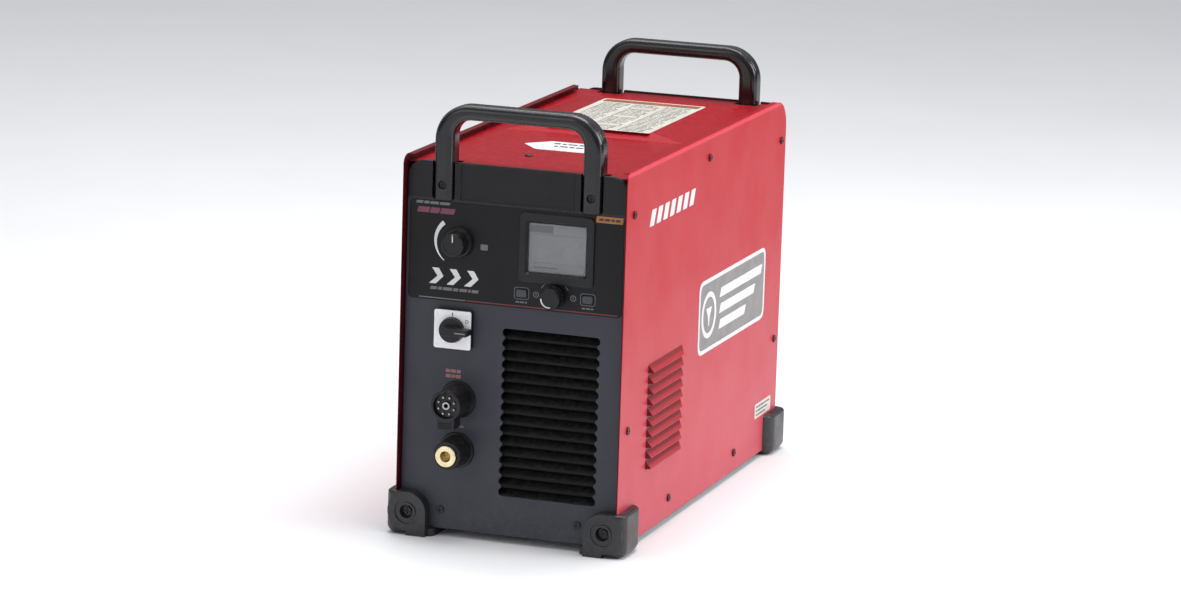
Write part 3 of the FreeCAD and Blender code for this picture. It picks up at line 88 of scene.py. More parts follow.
class Look:
    """A Principled material built up node by node. Texture coordinates are metres in the frame's axes."""

    def __init__(self, name, colour, roughness, metallic=0.0):
        self.mat = bpy.data.materials.new(name)
        self.mat.use_nodes = True
        self.tree = self.mat.node_tree
        self.tree.nodes.clear()
        out = self.add("ShaderNodeOutputMaterial")
        self.bsdf = self.add("ShaderNodeBsdfPrincipled")
        self.link(self.bsdf.outputs[0], out.inputs["Surface"])
        self.colour, self.roughness = colour, roughness
        self.height = self.soft_normal = None
        self.bsdf.inputs["Metallic"].default_value = metallic
        self.where = self.add("ShaderNodeTexCoord").outputs["Object"]

    def add(self, kind, **settings):
        made = self.tree.nodes.new(kind)
        for key, value in settings.items():
            setattr(made, key, value)
        return made

    def link(self, a, b):
        self.tree.links.new(a, b)

    def feed(self, socket, value):
        if isinstance(value, bpy.types.NodeSocket):
            self.link(value, socket)
        else:
            socket.default_value = value

    def set(self, **values):
        """Constants on the shader's own sockets."""
        for key, value in values.items():
            self.bsdf.inputs[key.replace("_", " ")].default_value = value
        return self

    def maths(self, operation, a, b=0.0, clamp=False):
        made = self.add("ShaderNodeMath", operation=operation, use_clamp=clamp)
        self.feed(made.inputs[0], a)
        self.feed(made.inputs[1], b)
        return made.outputs[0]

    def product(self, *factors):
        """The product of several masks, which is where they all hold."""
        made = factors[0]
        for factor in factors[1:]:
            made = self.maths("MULTIPLY", made, factor)
        return made

    def stretched(self, scale):
        made = self.add("ShaderNodeVectorMath", operation="MULTIPLY")
        self.link(self.where, made.inputs[0])
        made.inputs[1].default_value = scale
        return made.outputs[0]

    def noise(self, scale, detail=3.0, stretch=None, rough=0.5):
        made = self.add("ShaderNodeTexNoise")
        self.link(self.stretched(stretch) if stretch else self.where, made.inputs["Vector"])
        made.inputs["Scale"].default_value = scale
        made.inputs["Detail"].default_value = detail
        made.inputs["Roughness"].default_value = rough
        return made.outputs["Fac"]

    def cells(self, scale, feature="F1"):
        made = self.add("ShaderNodeTexVoronoi", feature=feature)
        self.link(self.where, made.inputs["Vector"])
        made.inputs["Scale"].default_value = scale
        return made.outputs["Distance"]

    def spread(self, value, low, high, to_low=0.0, to_high=1.0):
        """Maps low..high to to_low..to_high, held at the ends; low may be the larger."""
        made = self.add("ShaderNodeMapRange", clamp=True)
        for socket, v in zip(made.inputs[:5], (value, low, high, to_low, to_high)):
            self.feed(socket, v)
        return made.outputs[0]

    def blend(self, amount, a, b):
        made = self.add("ShaderNodeMix", data_type="RGBA")
        self.feed(made.inputs[0], amount)
        self.feed(made.inputs[6], a)
        self.feed(made.inputs[7], b)
        return made.outputs[2]

    def axis(self, source, index):
        made = self.add("ShaderNodeSeparateXYZ")
        self.link(source, made.inputs[0])
        return made.outputs[index]

    def tint(self, amount, colour):
        """Mixes a colour over what is there by amount."""
        self.colour = self.blend(amount, self.colour, colour)
        return self

    def rougher(self, amount):
        self.roughness = self.maths("ADD", self.roughness, amount, clamp=True)
        return self

    def relief(self, height, depth):
        """Adds to the surface height; depth is in metres."""
        scaled = self.maths("MULTIPLY", height, depth / MM)
        self.height = scaled if self.height is None else self.maths("ADD", self.height, scaled)
        return self

    def mottled(self, other, scale=9.0, amount=0.5):
        return self.tint(self.spread(self.noise(scale, 4.0), 0.35, 0.7, 0.0, amount), other)

    def smudged(self, amount=0.12, scale=28.0):
        return self.rougher(self.spread(self.noise(scale, 5.0, rough=0.6), 0.4, 0.75, -amount * 0.4, amount))

    def grain(self, scale=1800.0, depth=0.00003):
        return self.relief(self.noise(scale, 2.0), depth)

    def scuffed(self, colour, amount=0.35, stretch=(12.0, 12.0, 90.0), low=0.66):
        """Short rubbed marks, lighter and rougher than the surface."""
        marks = self.spread(self.noise(3.2, 6.0, stretch=stretch, rough=0.7), low, low + 0.1, 0.0, amount)
        self.tint(marks, colour)
        return self.rougher(self.maths("MULTIPLY", marks, 0.4))

    def dusty(self, colour, amount=0.3):
        """Dust on what faces up, and a little more near the floor."""
        normal = self.add("ShaderNodeNewGeometry").outputs["Normal"]
        up = self.spread(self.axis(normal, 2), 0.6, 1.0)
        low = self.spread(self.axis(self.where, 2), 0.0, 0.07, 0.5, 0.0)
        grit = self.spread(self.noise(160.0, 6.0, rough=0.65), 0.42, 0.75)
        dust = self.maths("MULTIPLY", self.maths("ADD", up, low, clamp=True), grit)
        dust = self.maths("MULTIPLY", dust, amount)
        self.tint(dust, colour)
        return self.rougher(self.maths("MULTIPLY", dust, 0.5))

    def worn_edges(self, colour, radius=0.0009, amount=0.6):
        """Rounds the shading of sharp edges, and rubs them lighter here and there."""
        soft = self.add("ShaderNodeBevel", samples=4)
        soft.inputs["Radius"].default_value = radius
        sharp = self.add("ShaderNodeNewGeometry").outputs["Normal"]
        dot = self.add("ShaderNodeVectorMath", operation="DOT_PRODUCT")
        self.link(soft.outputs[0], dot.inputs[0])
        self.link(sharp, dot.inputs[1])
        edge = self.spread(dot.outputs["Value"], 0.995, 0.9, 0.0, 1.0)
        patchy = self.spread(self.noise(70.0, 5.0, rough=0.65), 0.42, 0.66, 0.0, amount)
        worn = self.maths("MULTIPLY", edge, patchy)
        self.tint(worn, colour)
        self.soft_normal = soft.outputs[0]
        return self.rougher(self.maths("MULTIPLY", worn, 0.3))

    def done(self):
        self.feed(self.bsdf.inputs["Base Color"], self.colour)
        self.feed(self.bsdf.inputs["Roughness"], self.roughness)
        if self.height is not None:
            bump = self.add("ShaderNodeBump")
            bump.inputs["Strength"].default_value = 1.0
            bump.inputs["Distance"].default_value = MM
            self.link(self.height, bump.inputs["Height"])
            if self.soft_normal:
                self.link(self.soft_normal, bump.inputs["Normal"])
            self.link(bump.outputs[0], self.bsdf.inputs["Normal"])
        elif self.soft_normal:
            self.link(self.soft_normal, self.bsdf.inputs["Normal"])
        return self.mat


DUST = linear(168, 160, 150)


def red_paint():
    look = Look("red_paint", linear(181, 9, 30), 0.36)
    look.mottled(linear(171, 8, 27), 3.0, 0.25).smudged(0.06, 14.0)
    look.scuffed(linear(216, 96, 100), 0.10, (7.0, 7.0, 50.0), 0.72)
    across, along, up = (look.axis(look.where, i) for i in range(3))
    outward = look.maths("ABSOLUTE", across)
    normal = look.add("ShaderNodeNewGeometry").outputs["Normal"]
    # paler towards the floor: a painted reflection of the pale floor's light
    look.tint(look.spread(up, 0.02, 0.30, 0.30, 0.0), linear(226, 132, 150))
    look.worn_edges(linear(214, 96, 102), 0.0011, 0.25)
    # deeper on what faces up: painted shade, the top darker than the sides from how the light falls
    look.tint(look.spread(look.axis(normal, 2), 0.75, 0.95), linear(149, 5, 22))
    # dark on the side covers' inner faces and cut edges: painted shade
    inner_face_shade = look.product(look.spread(outward, 0.1374, 0.13745), look.spread(outward, 0.1386, 0.1385),
                              look.spread(up, 0.4540, 0.4535))
    look.tint(inner_face_shade, linear(74, 12, 20))
    # dark on the left cover's lip over the deck: painted shade
    left_lip_shade = look.product(look.spread(across, -0.1290, -0.1300), look.spread(up, 0.4540, 0.4545))
    look.tint(left_lip_shade, linear(96, 14, 24))
    # pale along the right cover's top bend: a painted highlight where the bend catches the light
    right_bend_highlight = look.product(look.spread(outward, 0.1370, 0.1378), look.spread(across, -0.1, 0.0),
                              look.spread(up, 0.4505, 0.4525, 0.0, 0.75))
    look.tint(right_bend_highlight, linear(222, 66, 82))
    # deeper on the louvres, most of all at the back of each hood and on its front end: painted shade of the
    # hoods
    louvre_shade = look.product(look.spread(outward, 0.1386, 0.1388), look.spread(along, -0.2185, -0.2175),
                         look.spread(along, -0.0910, -0.0920), look.spread(up, 0.0864, 0.0870),
                         look.spread(up, 0.2146, 0.2136))
    hood_back_shade = look.spread(outward, 0.1430, 0.1414, 0.0, 0.6)
    hood_end_shade = look.spread(look.axis(normal, 1), -0.3, -0.6)
    look.tint(look.product(louvre_shade, 0.5), linear(156, 5, 20))
    look.tint(look.product(louvre_shade, hood_back_shade), linear(92, 2, 12))
    look.tint(look.product(louvre_shade, hood_end_shade, 0.8), linear(84, 2, 10))
    look.dusty(linear(190, 130, 128), 0.10)
    look.relief(look.noise(420.0, 2.0), 0.00005).grain(2600.0, 0.00001)
    return look.set(IOR=1.25).done()


def moulded(name, colour, other, roughness, depth, specular=0.5, edge=(120, 120, 122), upper=None):
    """Black or grey plastic with a spark-eroded texture; upper is a darker colour above the control face,
    painted shade.
    """
    look = Look(name, linear(*colour), roughness)
    look.mottled(linear(*other), 7.0, 0.6).smudged(0.14, 30.0)
    # painted shade: the face above the control face is darker, as it takes less light from the floor than the
    # face below
    if upper:
        look.tint(look.spread(look.axis(look.where, 2), 0.402, 0.407), linear(*upper))
    look.scuffed(linear(*edge), 0.16, (10.0, 10.0, 70.0), 0.69)
    look.worn_edges(linear(*edge), 0.0008, 0.45)
    look.dusty(DUST, 0.14)
    look.relief(look.cells(900.0), depth).grain(2400.0, depth * 0.5)
    return look.set(Specular_IOR_Level=specular).done()


def turned(name, colour, other, roughness, spin=(1.0, 1.0, 1.0)):
    """Metal with fine tool marks and slight tarnish."""
    look = Look(name, linear(*colour), roughness, 1.0)
    look.mottled(linear(*other), 60.0, 0.7).smudged(0.16, 90.0)
    look.relief(look.noise(300.0, 2.0, stretch=spin), 0.00002)
    return look.worn_edges(linear(*colour), 0.0004, 0.2).done()


def ink(name, colour, other, roughness=0.4):
    """Printed ink or vinyl, slightly uneven, rubbed in places."""
    look = Look(name, linear(*colour), roughness)
    look.mottled(linear(*other), 40.0, 0.5).smudged(0.12, 60.0)
    look.scuffed(linear(*other), 0.5, (14.0, 14.0, 50.0), 0.66)
    return look.grain(1500.0, 0.00001).done()


def clear(name, colour, alpha, roughness):
    look = Look(name, linear(*colour), roughness)
    look.smudged(0.10, 35.0).relief(look.noise(60.0, 2.0), 0.00002)
    look.set(Alpha=alpha, Specular_IOR_Level=0.6)
    return look.done()


def screen():
    """The cell behind the window: grey, mottled a little darker, with its pixel grid."""
    # the grey is the cell's own colour and partly a painted reflection of the bright room in the window
    look = Look("screen", linear(116, 117, 118), 0.3)
    look.mottled(linear(104, 105, 107), 14.0, 0.8)
    return look.relief(look.cells(2200.0), 0.00001).smudged(0.1).done()


def board():
    look = Look("circuit_board", linear(18, 74, 40), 0.4)
    traces = look.spread(look.cells(240.0, "DISTANCE_TO_EDGE"), 0.05, 0.09)
    look.tint(look.maths("MULTIPLY", traces, 0.35), linear(60, 120, 70))
    return look.smudged(0.1).relief(traces, 0.00003).done()


LOOKS = {
    "red_paint": red_paint(),
    # the panel's darker colour above the control face is painted shade
    "panel": moulded("panel_plastic", (64, 65, 73), (58, 59, 68), 0.48, 0.00005, 0.3, upper=(30, 30, 32)),
    "handle": moulded("handle_plastic", (20, 20, 22), (16, 16, 18), 0.20, 0.00001, 0.6, (70, 70, 72)),
    "foot": moulded("foot_plastic", (31, 32, 35), (24, 25, 28), 0.34, 0.00004, 0.55, (90, 90, 92)),
    "black": moulded("black_plastic", (20, 20, 22), (14, 14, 16), 0.38, 0.00002, 0.4, (80, 80, 82)),
    "dull_black": moulded("dull_black", (20, 20, 22), (14, 14, 16), 0.62, 0.00004, 0.35, (60, 60, 62)),
    "vent": moulded("vent_black", (13, 13, 14), (9, 9, 10), 0.66, 0.00004, 0.25, (36, 36, 38)),
    "film": moulded("overlay_film", (22, 22, 24), (18, 18, 20), 0.36, 0.00001, 0.25, (62, 62, 66)),
    "screw": moulded("screw_black", (24, 22, 23), (15, 14, 15), 0.40, 0.00001, 0.5, (86, 82, 80)),
    "red_screw": moulded("screw_red", (84, 18, 28), (62, 12, 20), 0.40, 0.00001, 0.4, (120, 60, 64)),
    "button": moulded("button_grey", (66, 67, 71), (56, 57, 61), 0.42, 0.00002),
    "steel": turned("zinc_steel", (196, 197, 200), (150, 152, 156), 0.32),
    "aluminium": turned("aluminium", (205, 206, 209), (170, 172, 176), 0.36, (1.0, 8.0, 1.0)),
    # dark grey fins: painted shade, so that no lit metal shows through the grille's slats
    "fin_shade": turned("shaded_fins", (58, 59, 61), (44, 45, 47), 0.42, (1.0, 8.0, 1.0)),
    "brass": turned("brass", (238, 226, 192), (212, 190, 140), 0.24, (8.0, 1.0, 8.0)),
    "pins": turned("silvered_pins", (176, 176, 178), (128, 128, 130), 0.30),
    "copper": turned("copper_wire", (176, 98, 54), (120, 62, 34), 0.34),
    "silver_plate": ink("silver_plate", (252, 252, 253), (246, 247, 249), 0.34),
    "white": ink("white_ink", (230, 230, 230), (202, 202, 204)),
    "grey_ink": ink("grey_ink", (112, 113, 116), (94, 95, 99)),
    "dark_ink": ink("dark_ink", (52, 52, 55), (42, 42, 45)),
    "red_ink": ink("red_ink", (122, 44, 52), (98, 34, 40)),
    "plum_ink": ink("plum_ink", (126, 64, 84), (104, 50, 68)),
    "rose_ink": ink("rose_ink", (158, 108, 104), (134, 84, 82)),
    "pale_ink": ink("pale_ink", (150, 151, 154), (122, 123, 126)),
    "orange_ink": ink("orange_ink", (176, 112, 60), (150, 90, 46)),
    "brown_band": ink("brown_band", (150, 92, 66), (128, 76, 54)),
    "label": ink("label_vinyl", (212, 208, 197), (194, 190, 179), 0.38),
    "badge_grey": ink("badge_grey", (128, 124, 124), (112, 109, 110)),
    # pale grey beads: a painted highlight along the handles' rounded edges
    "bead_highlight": moulded("handle_bead_highlight", (74, 75, 78), (60, 61, 64), 0.16, 0.00001, 0.6),
    "needle": ink("needle_red", (186, 30, 30), (150, 20, 22)),
    "window": clear("window_clear", (205, 208, 210), 0.12, 0.08),
    "bowl": clear("bowl_smoked", (150, 156, 156), 0.55, 0.16),
    "screen": screen(),
    "board": board(),
    "core": moulded("ferrite_core", (38, 38, 40), (28, 28, 30), 0.55, 0.00004),
    "can": ink("can_sleeve", (34, 44, 86), (26, 34, 70), 0.3),
    "hose": moulded("air_hose", (20, 30, 74), (16, 22, 56), 0.35, 0.00001),
}

NODE_LOOKS = {
    "red_paint": ["left_cover", "right_cover", "top_cover"],
    "panel": ["front_panel", "rear_panel"],
    "handle": ["front_handle", "rear_handle"],
    "foot": ["foot_front_left", "foot_front_right", "foot_rear_left", "foot_rear_right"],
    "vent": ["front_grille"],
    "dull_black": ["fan_frame", "fan_rotor", "power_modules"],
    "black": ["display_bezel", "current_knob", "menu_knob", "power_switch_body", "power_switch_knob",
              "torch_socket_shell", "torch_socket_insert", "work_socket_housing", "mains_gland", "cnc_socket",
              "cnc_cap", "breaker_body", "regulator_knob"],
    "film": ["control_overlay"],
    "screw": ["panel_screws", "handle_screws"],
    "red_screw": ["cover_screws"],
    "button": ["left_button", "right_button"],
    "steel": ["base_pan", "deck_plate", "tunnel_wall", "encoder_shaft", "fan_guard", "fan_screws",
              "pressure_gauge"],
    "aluminium": ["air_regulator"],
    "fin_shade": ["heat_sinks"],
    "pins": ["torch_contacts"],
    "brass": ["work_socket_contact", "drain_valve", "solenoid_valve"],
    "copper": ["transformer_winding", "output_choke"],
    "silver_plate": ["power_switch_plate"],
    "white": ["breaker_button"],
    "window": ["display_window"],
    "bowl": ["filter_bowl"],
    "screen": ["display_module"],
    "board": ["display_board", "control_board", "inverter_board"],
    "core": ["transformer_core"],
    "can": ["capacitor_bank"],
    "hose": ["air_tube"],
}
dressed = set()
for look, names in NODE_LOOKS.items():
    for name in names:
        for material_slot in NODES[name].material_slots:
            material_slot.material = LOOKS[look]
        dressed.add(name)
assert dressed == set(NODES), sorted(set(NODES) - dressed)


# ---- flat shapes: closed lists of (u, v) points in mm --------------------------------------------------
def rounded(points, radius, steps=5):
    """A closed polygon with its corners rounded."""
    made = []
    count = len(points)
    for i in range(count):
        p = Vector(points[i])
        before, after = Vector(points[i - 1]) - p, Vector(points[(i + 1) % count]) - p
        r = min(radius, before.length * 0.45, after.length * 0.45)
        a, b = p + before.normalized() * r, p + after.normalized() * r
        for k in range(steps + 1):
            t = k / steps
            made.append(tuple(a.lerp(p, t).lerp(p.lerp(b, t), t)))
    return made


def rect(u, v, w, h, radius=0.0):
    pts = [(u - w / 2, v - h / 2), (u + w / 2, v - h / 2), (u + w / 2, v + h / 2), (u - w / 2, v + h / 2)]
    return rounded(pts, radius) if radius else pts


def leaning(u, v, w, h, lean, radius=0.4):
    """A rectangle leaning to the right by lean at its top."""
    k = lean / 2
    return rounded([(u - w / 2 - k, v - h / 2), (u + w / 2 - k, v - h / 2), (u + w / 2 + k, v + h / 2),
                    (u - w / 2 + k, v + h / 2)], radius)


def disc(u, v, r, steps=40):
    return [(u + r * math.cos(2 * math.pi * i / steps), v + r * math.sin(2 * math.pi * i / steps))
            for i in range(steps)]


def arc_band(u, v, radius, start, end, width_start, width_end, steps=36):
    """A tapering band on an arc; angles in degrees, anticlockwise from the right."""
    inner, outer = [], []
    for i in range(steps + 1):
        t = i / steps
        a = math.radians(start + (end - start) * t)
        w = (width_start + (width_end - width_start) * t) / 2
        inner.append((u + (radius - w) * math.cos(a), v + (radius - w) * math.sin(a)))
        outer.append((u + (radius + w) * math.cos(a), v + (radius + w) * math.sin(a)))
    return inner + outer[::-1]


def print_row(piece, plane, surface, u, v, width, height, shares, lean=0.0, gap=1.4):
    """A row of small bars in place of a line of print; shares are their parts of the width."""
    free = width - gap * (len(shares) - 1)
    for share in shares:
        w = free * share / sum(shares)
        piece.sticker(leaning(u + w / 2, v, w, height, lean, min(0.5, height / 4)), plane, surface)
        u += w + gap


# where (u, v) points lie, and how far out w mm is
PLANES = {
    "front": lambda u, v, w: Vector((u, -w, v)) * MM,
    "rear": lambda u, v, w: Vector((-u, w, v)) * MM,
    "right": lambda u, v, w: Vector((w, u, v)) * MM,
    "left": lambda u, v, w: Vector((-w, -u, v)) * MM,
    "top": lambda u, v, w: Vector((u, v, w)) * MM,
}


class Piece:
    """One mesh object, made of prisms, swept strips and turned shapes."""

    def __init__(self, name, look, body="case", slot=None):
        self.name, self.look, self.body, self.slot = name, look, body, slot
        self.bm = bmesh.new()

    def prism(self, points, plane, low, high, holes=()):
        """A flat shape pushed from low to high, with closed lists of points for any holes."""
        place = PLANES[plane]
        for w, flip in ((low, True), (high, False)):
            loops = [[self.bm.verts.new(place(u, v, w)) for u, v in ring] for ring in (points, *holes)]
            if holes:
                edges = [self.bm.edges.new(pair) for ring in loops for pair in zip(ring, ring[1:] + ring[:1])]
                bmesh.ops.triangle_fill(self.bm, edges=edges, use_beauty=True)
            else:
                self.bm.faces.new(loops[0][::-1] if flip else loops[0])
            if flip:
                below = loops
        for lower, upper in zip(below, loops):
            for i, a in enumerate(lower):
                j = (i + 1) % len(lower)
                self.bm.faces.new((a, lower[j], upper[j], upper[i]))

    def sticker(self, points, plane, surface, thick=0.14, holes=()):
        """A printed or stuck shape, thick mm proud of the surface and sunk a hair into it."""
        self.prism(points, plane, surface - SUNK, surface + thick, holes)

    def tube(self, path, radius, normal, steps=8):
        """A round tube along a flat open path of Vectors in mm; normal is the path's plane's normal."""
        rings = []
        for i, p in enumerate(path):
            ahead = (path[min(i + 1, len(path) - 1)] - path[max(i - 1, 0)]).normalized()
            across = normal.cross(ahead)
            turn = [2 * math.pi * k / steps for k in range(steps)]
            rings.append([self.bm.verts.new((p + (across * math.cos(t) + normal * math.sin(t)) * radius) * MM)
                          for t in turn])
        for one, two in zip(rings, rings[1:]):
            for i in range(steps):
                j = (i + 1) % steps
                self.bm.faces.new((one[i], one[j], two[j], two[i]))
        self.bm.faces.new(rings[0][::-1])
        self.bm.faces.new(rings[-1])

    def turned(self, profile, centre, axis, steps=64):
        """A closed profile of (radius, along) points turned about an axis through centre, all in mm."""
        across = {"y": (Vector((1, 0, 0)), Vector((0, 0, 1)), Vector((0, 1, 0))),
                  "z": (Vector((1, 0, 0)), Vector((0, 1, 0)), Vector((0, 0, 1)))}[axis]
        rings = []
        for k in range(steps):
            a = 2 * math.pi * k / steps
            ray = across[0] * math.cos(a) + across[1] * math.sin(a)
            rings.append([self.bm.verts.new((Vector(centre) + ray * r + across[2] * h) * MM)
                          for r, h in profile])
        for one, two in zip(rings, rings[1:] + rings[:1]):
            for i in range(len(profile)):
                j = (i + 1) % len(profile)
                self.bm.faces.new((one[i], one[j], two[j], two[i]))

    def done(self, smooth=False):
        bmesh.ops.recalc_face_normals(self.bm, faces=self.bm.faces)
        mesh = bpy.data.meshes.new(self.name)
        self.bm.to_mesh(mesh)
        self.bm.free()
        if smooth:
            for polygon in mesh.polygons:
                polygon.use_smooth = True
            mesh.set_sharp_from_angle(angle=math.radians(35))
        mesh.materials.append(LOOKS[self.look])
        made = bpy.data.objects.new(self.name, mesh)
        bpy.context.scene.collection.objects.link(made)
        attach(made, self.body)


# ---- front: printed control face -----------------------------------------------------------------------
KNOB, MENU, SWITCH = (-71.0, 356.0), (50.0, 303.0), (-73.0, 253.0)
SOCKET_X = -67.0                      # the torch and work sockets stand over each other
TEXT = (5, 3, 7, 4, 6, 2, 5)          # bar lengths of the stand-in print


def control_graphics():
    white = Piece("panel_print_white", "white", slot="overlay_film")
    white.sticker(arc_band(*KNOB, 29.0, 130, 232, 5.4, 1.0), "front", OVERLAY)
    for i in range(3):
        u = -97 + 22 * i
        chevron = [(u - 10, 304.5), (u - 1.5, 304.5), (u + 8, 314),
                   (u + 2, 323.5), (u - 6.5, 323.5), (u + 0.5, 314)]
        white.sticker(rounded(chevron, 0.8), "front", OVERLAY)
    white.done()

    grey = Piece("panel_print_grey", "grey_ink", slot="overlay_film")
    grey.sticker(rect(-90, 287.4, 58, 1.3, 0.5), "front", OVERLAY)
    grey.sticker(rect(-39, 353, 9, 7, 1.4), "front", OVERLAY)
    print_row(grey, "front", OVERLAY, -105, 299.2, 60, 3.6, TEXT, 1.4)
    print_row(grey, "front", OVERLAY, -125, 400.4, 42, 3.2, (4, 3, 5, 6), 1.0)
    for start, end in ((28, 78), (102, 152)):
        grey.sticker(arc_band(*MENU, 18.6, start, end, 0.9, 0.9, 16), "front", OVERLAY)
    for u in (27, 73):
        grey.sticker(disc(u, 303, 3.6), "front", OVERLAY, holes=[disc(u, 303, 2.7)[::-1]])
        grey.sticker(rect(u, 303, 1.0, 3.0, 0.3), "front", OVERLAY)
    for u in (9, 91):
        ring, hole = rect(u, 303, 18.5, 14.5, 3.6), rect(u, 303, 17.3, 13.3, 3.0)
        grey.sticker(ring, "front", OVERLAY, holes=[hole[::-1]])
        print_row(grey, "front", OVERLAY, u - 7, 292.4, 14, 1.8, (3, 4, 2), 0.0, 1.0)
    grey.done()

    red = Piece("panel_print_red", "red_ink", slot="overlay_film")
    red.sticker(rect(34, 287.4, 188, 1.3, 0.5), "front", OVERLAY)
    red.done()
    plum = Piece("panel_print_plum", "plum_ink", slot="overlay_film")
    print_row(plum, "front", OVERLAY, -123, 391.6, 46, 6.6, (5, 4, 6), 2.0)
    plum.done()

    orange = Piece("panel_print_orange", "orange_ink", slot="overlay_film")
    orange.sticker(leaning(115.0, 399.3, 33, 7.6, 1.0), "front", OVERLAY)
    orange.done()
    dark = Piece("panel_print_dark", "dark_ink", slot="overlay_film")
    print_row(dark, "front", OVERLAY + 0.14, 102, 399.3, 26, 3.0, (4, 5, 3, 4), 0.6)
    dark.done()


def screen_content():
    """A status block, two rules and a scale on the display's glass."""
    shown = Piece("screen_content", "dark_ink", slot="screen")
    shown.prism(rect(31.0, 381.0, 28, 8.4, 1.0), "front", GLASS - SUNK, GLASS + 0.1)
    for v in (374.6, 341.0):
        shown.prism(rect(51, v, 64, 0.5), "front", GLASS - SUNK, GLASS + 0.08)
    for i in range(9):
        shown.prism(rect(23 + 7 * i, 338.0, 0.6, 2.6), "front", GLASS - SUNK, GLASS + 0.08)
    shown.prism(rect(36, 335.2, 30, 1.6, 0.4), "front", GLASS - SUNK, GLASS + 0.08)
    shown.done()


def front_marks():
    """Pointers that turn with their knobs, a painted highlight on the menu knob's face, the switch's on and
    off marks, and the sockets' labels.
    """
    pointer = Piece("current_pointer", "white", "current_knob", "white_plastic")
    pointer.prism(rect(KNOB[0], 364.1, 1.4, 9.4), "front", CURRENT_GROOVE - 0.05, CURRENT_GROOVE + 0.6)
    pointer.done()
    # a white crescent on the menu knob's lower left, turning with it: a painted highlight of the knob's rim
    mark = Piece("menu_knob_highlight", "white", "menu_knob", "white_plastic")
    mark.prism(arc_band(*MENU, 9.6, 178, 282, 1.9, 1.0, 20), "front", MENU_FACE - 0.05,
               MENU_FACE + 0.08)
    mark.done()
    mark = Piece("switch_pointer", "pale_ink", "power_switch", "white_plastic")
    mark.prism(rect(-57, SWITCH[1], 13.2, 1.3), "front", LEVER_GROOVE - 0.05, LEVER_GROOVE + 0.6)
    mark.done()
    plate_marks = Piece("switch_marks", "dark_ink", slot="black_plastic")
    plate_marks.sticker(rect(SWITCH[0], 271.6, 1.2, 4.2, 0.3), "front", PLATE, 0.1)
    plate_marks.sticker(disc(-55.0, 264.0, 2.2, 28), "front", PLATE, 0.1,
                        holes=[disc(-55.0, 264.0, 1.5, 28)[::-1]])
    plate_marks.done()
    label = Piece("torch_label", "rose_ink", slot="overlay_film")
    print_row(label, "front", FRONT, SOCKET_X - 16.4, 201.4, 19, 4.0, (3, 4, 3), 0.0, 1.0)
    print_row(label, "front", FRONT, SOCKET_X - 16.4, 195.2, 19, 4.0, (4, 2, 4), 0.0, 1.0)
    label.done()
    tag = Piece("work_label", "grey_ink", slot="overlay_film")
    print_row(tag, "front", FRONT, SOCKET_X - 8, 135.4, 16, 2.6, (3, 4), 0.0, 1.0)
    tag.done()


control_graphics()
screen_content()
front_marks()


# ---- sides: printed stripes, badge and a small label ---------------------------------------------------
def side_graphics(plane):
    """Both sides read from left to right, with the badge towards the rear."""
    sign = 1 if plane == "right" else -1
    stripe_u, badge_u, label_u = -145.0 * sign, 104.0 * sign, 250.0 * sign
    white = Piece("side_print_" + plane, "white", slot="white_plastic")
    for i in range(7):
        white.sticker(leaning(stripe_u + (i - 3) * 24.5, 390.5, 15.5, 19, 8, 1.0), plane, SIDE)
    outer, inner = rect(badge_u, 231, 268, 92, 15), rect(badge_u, 231, 258, 82, 11)
    white.sticker(outer, plane, SIDE, holes=[inner[::-1]])
    u = badge_u - 94
    white.sticker(disc(u, 231, 29), plane, SIDE + 0.08, holes=[disc(u, 231, 22.5)[::-1]])
    drop = [(u - 11, 240), (u + 11, 240), (u + 3.5, 229), (u + 1, 217), (u - 1, 217), (u - 3.5, 229)]
    white.sticker(rounded(drop, 1.0), plane, SIDE + 0.08)
    for v, w in ((251, 168), (231, 140), (211, 104)):
        white.sticker(leaning(badge_u - 50 + w / 2, v, w, 11.5, 6, 1.5), plane, SIDE + 0.08)
    white.done()

    grey = Piece("side_badge_" + plane, "badge_grey", slot="overlay_film")
    grey.sticker(rect(badge_u, 231, 259.6, 83.6, 11.6), plane, SIDE, 0.1)
    grey.done()

    label = Piece("side_label_" + plane, "label", slot="white_plastic")
    label.sticker(rect(label_u, 65.5, 66, 19, 2.0), plane, SIDE)
    label.done()
    text = Piece("side_label_print_" + plane, "dark_ink", slot="overlay_film")
    for k in range(3):
        print_row(text, plane, SIDE + 0.14, label_u - 28, 70.6 - 5.2 * k, 56 - 9 * k, 2.0,
                  TEXT[k:k + 5], 0.0, 1.6)
    text.done()


side_graphics("right")
side_graphics("left")


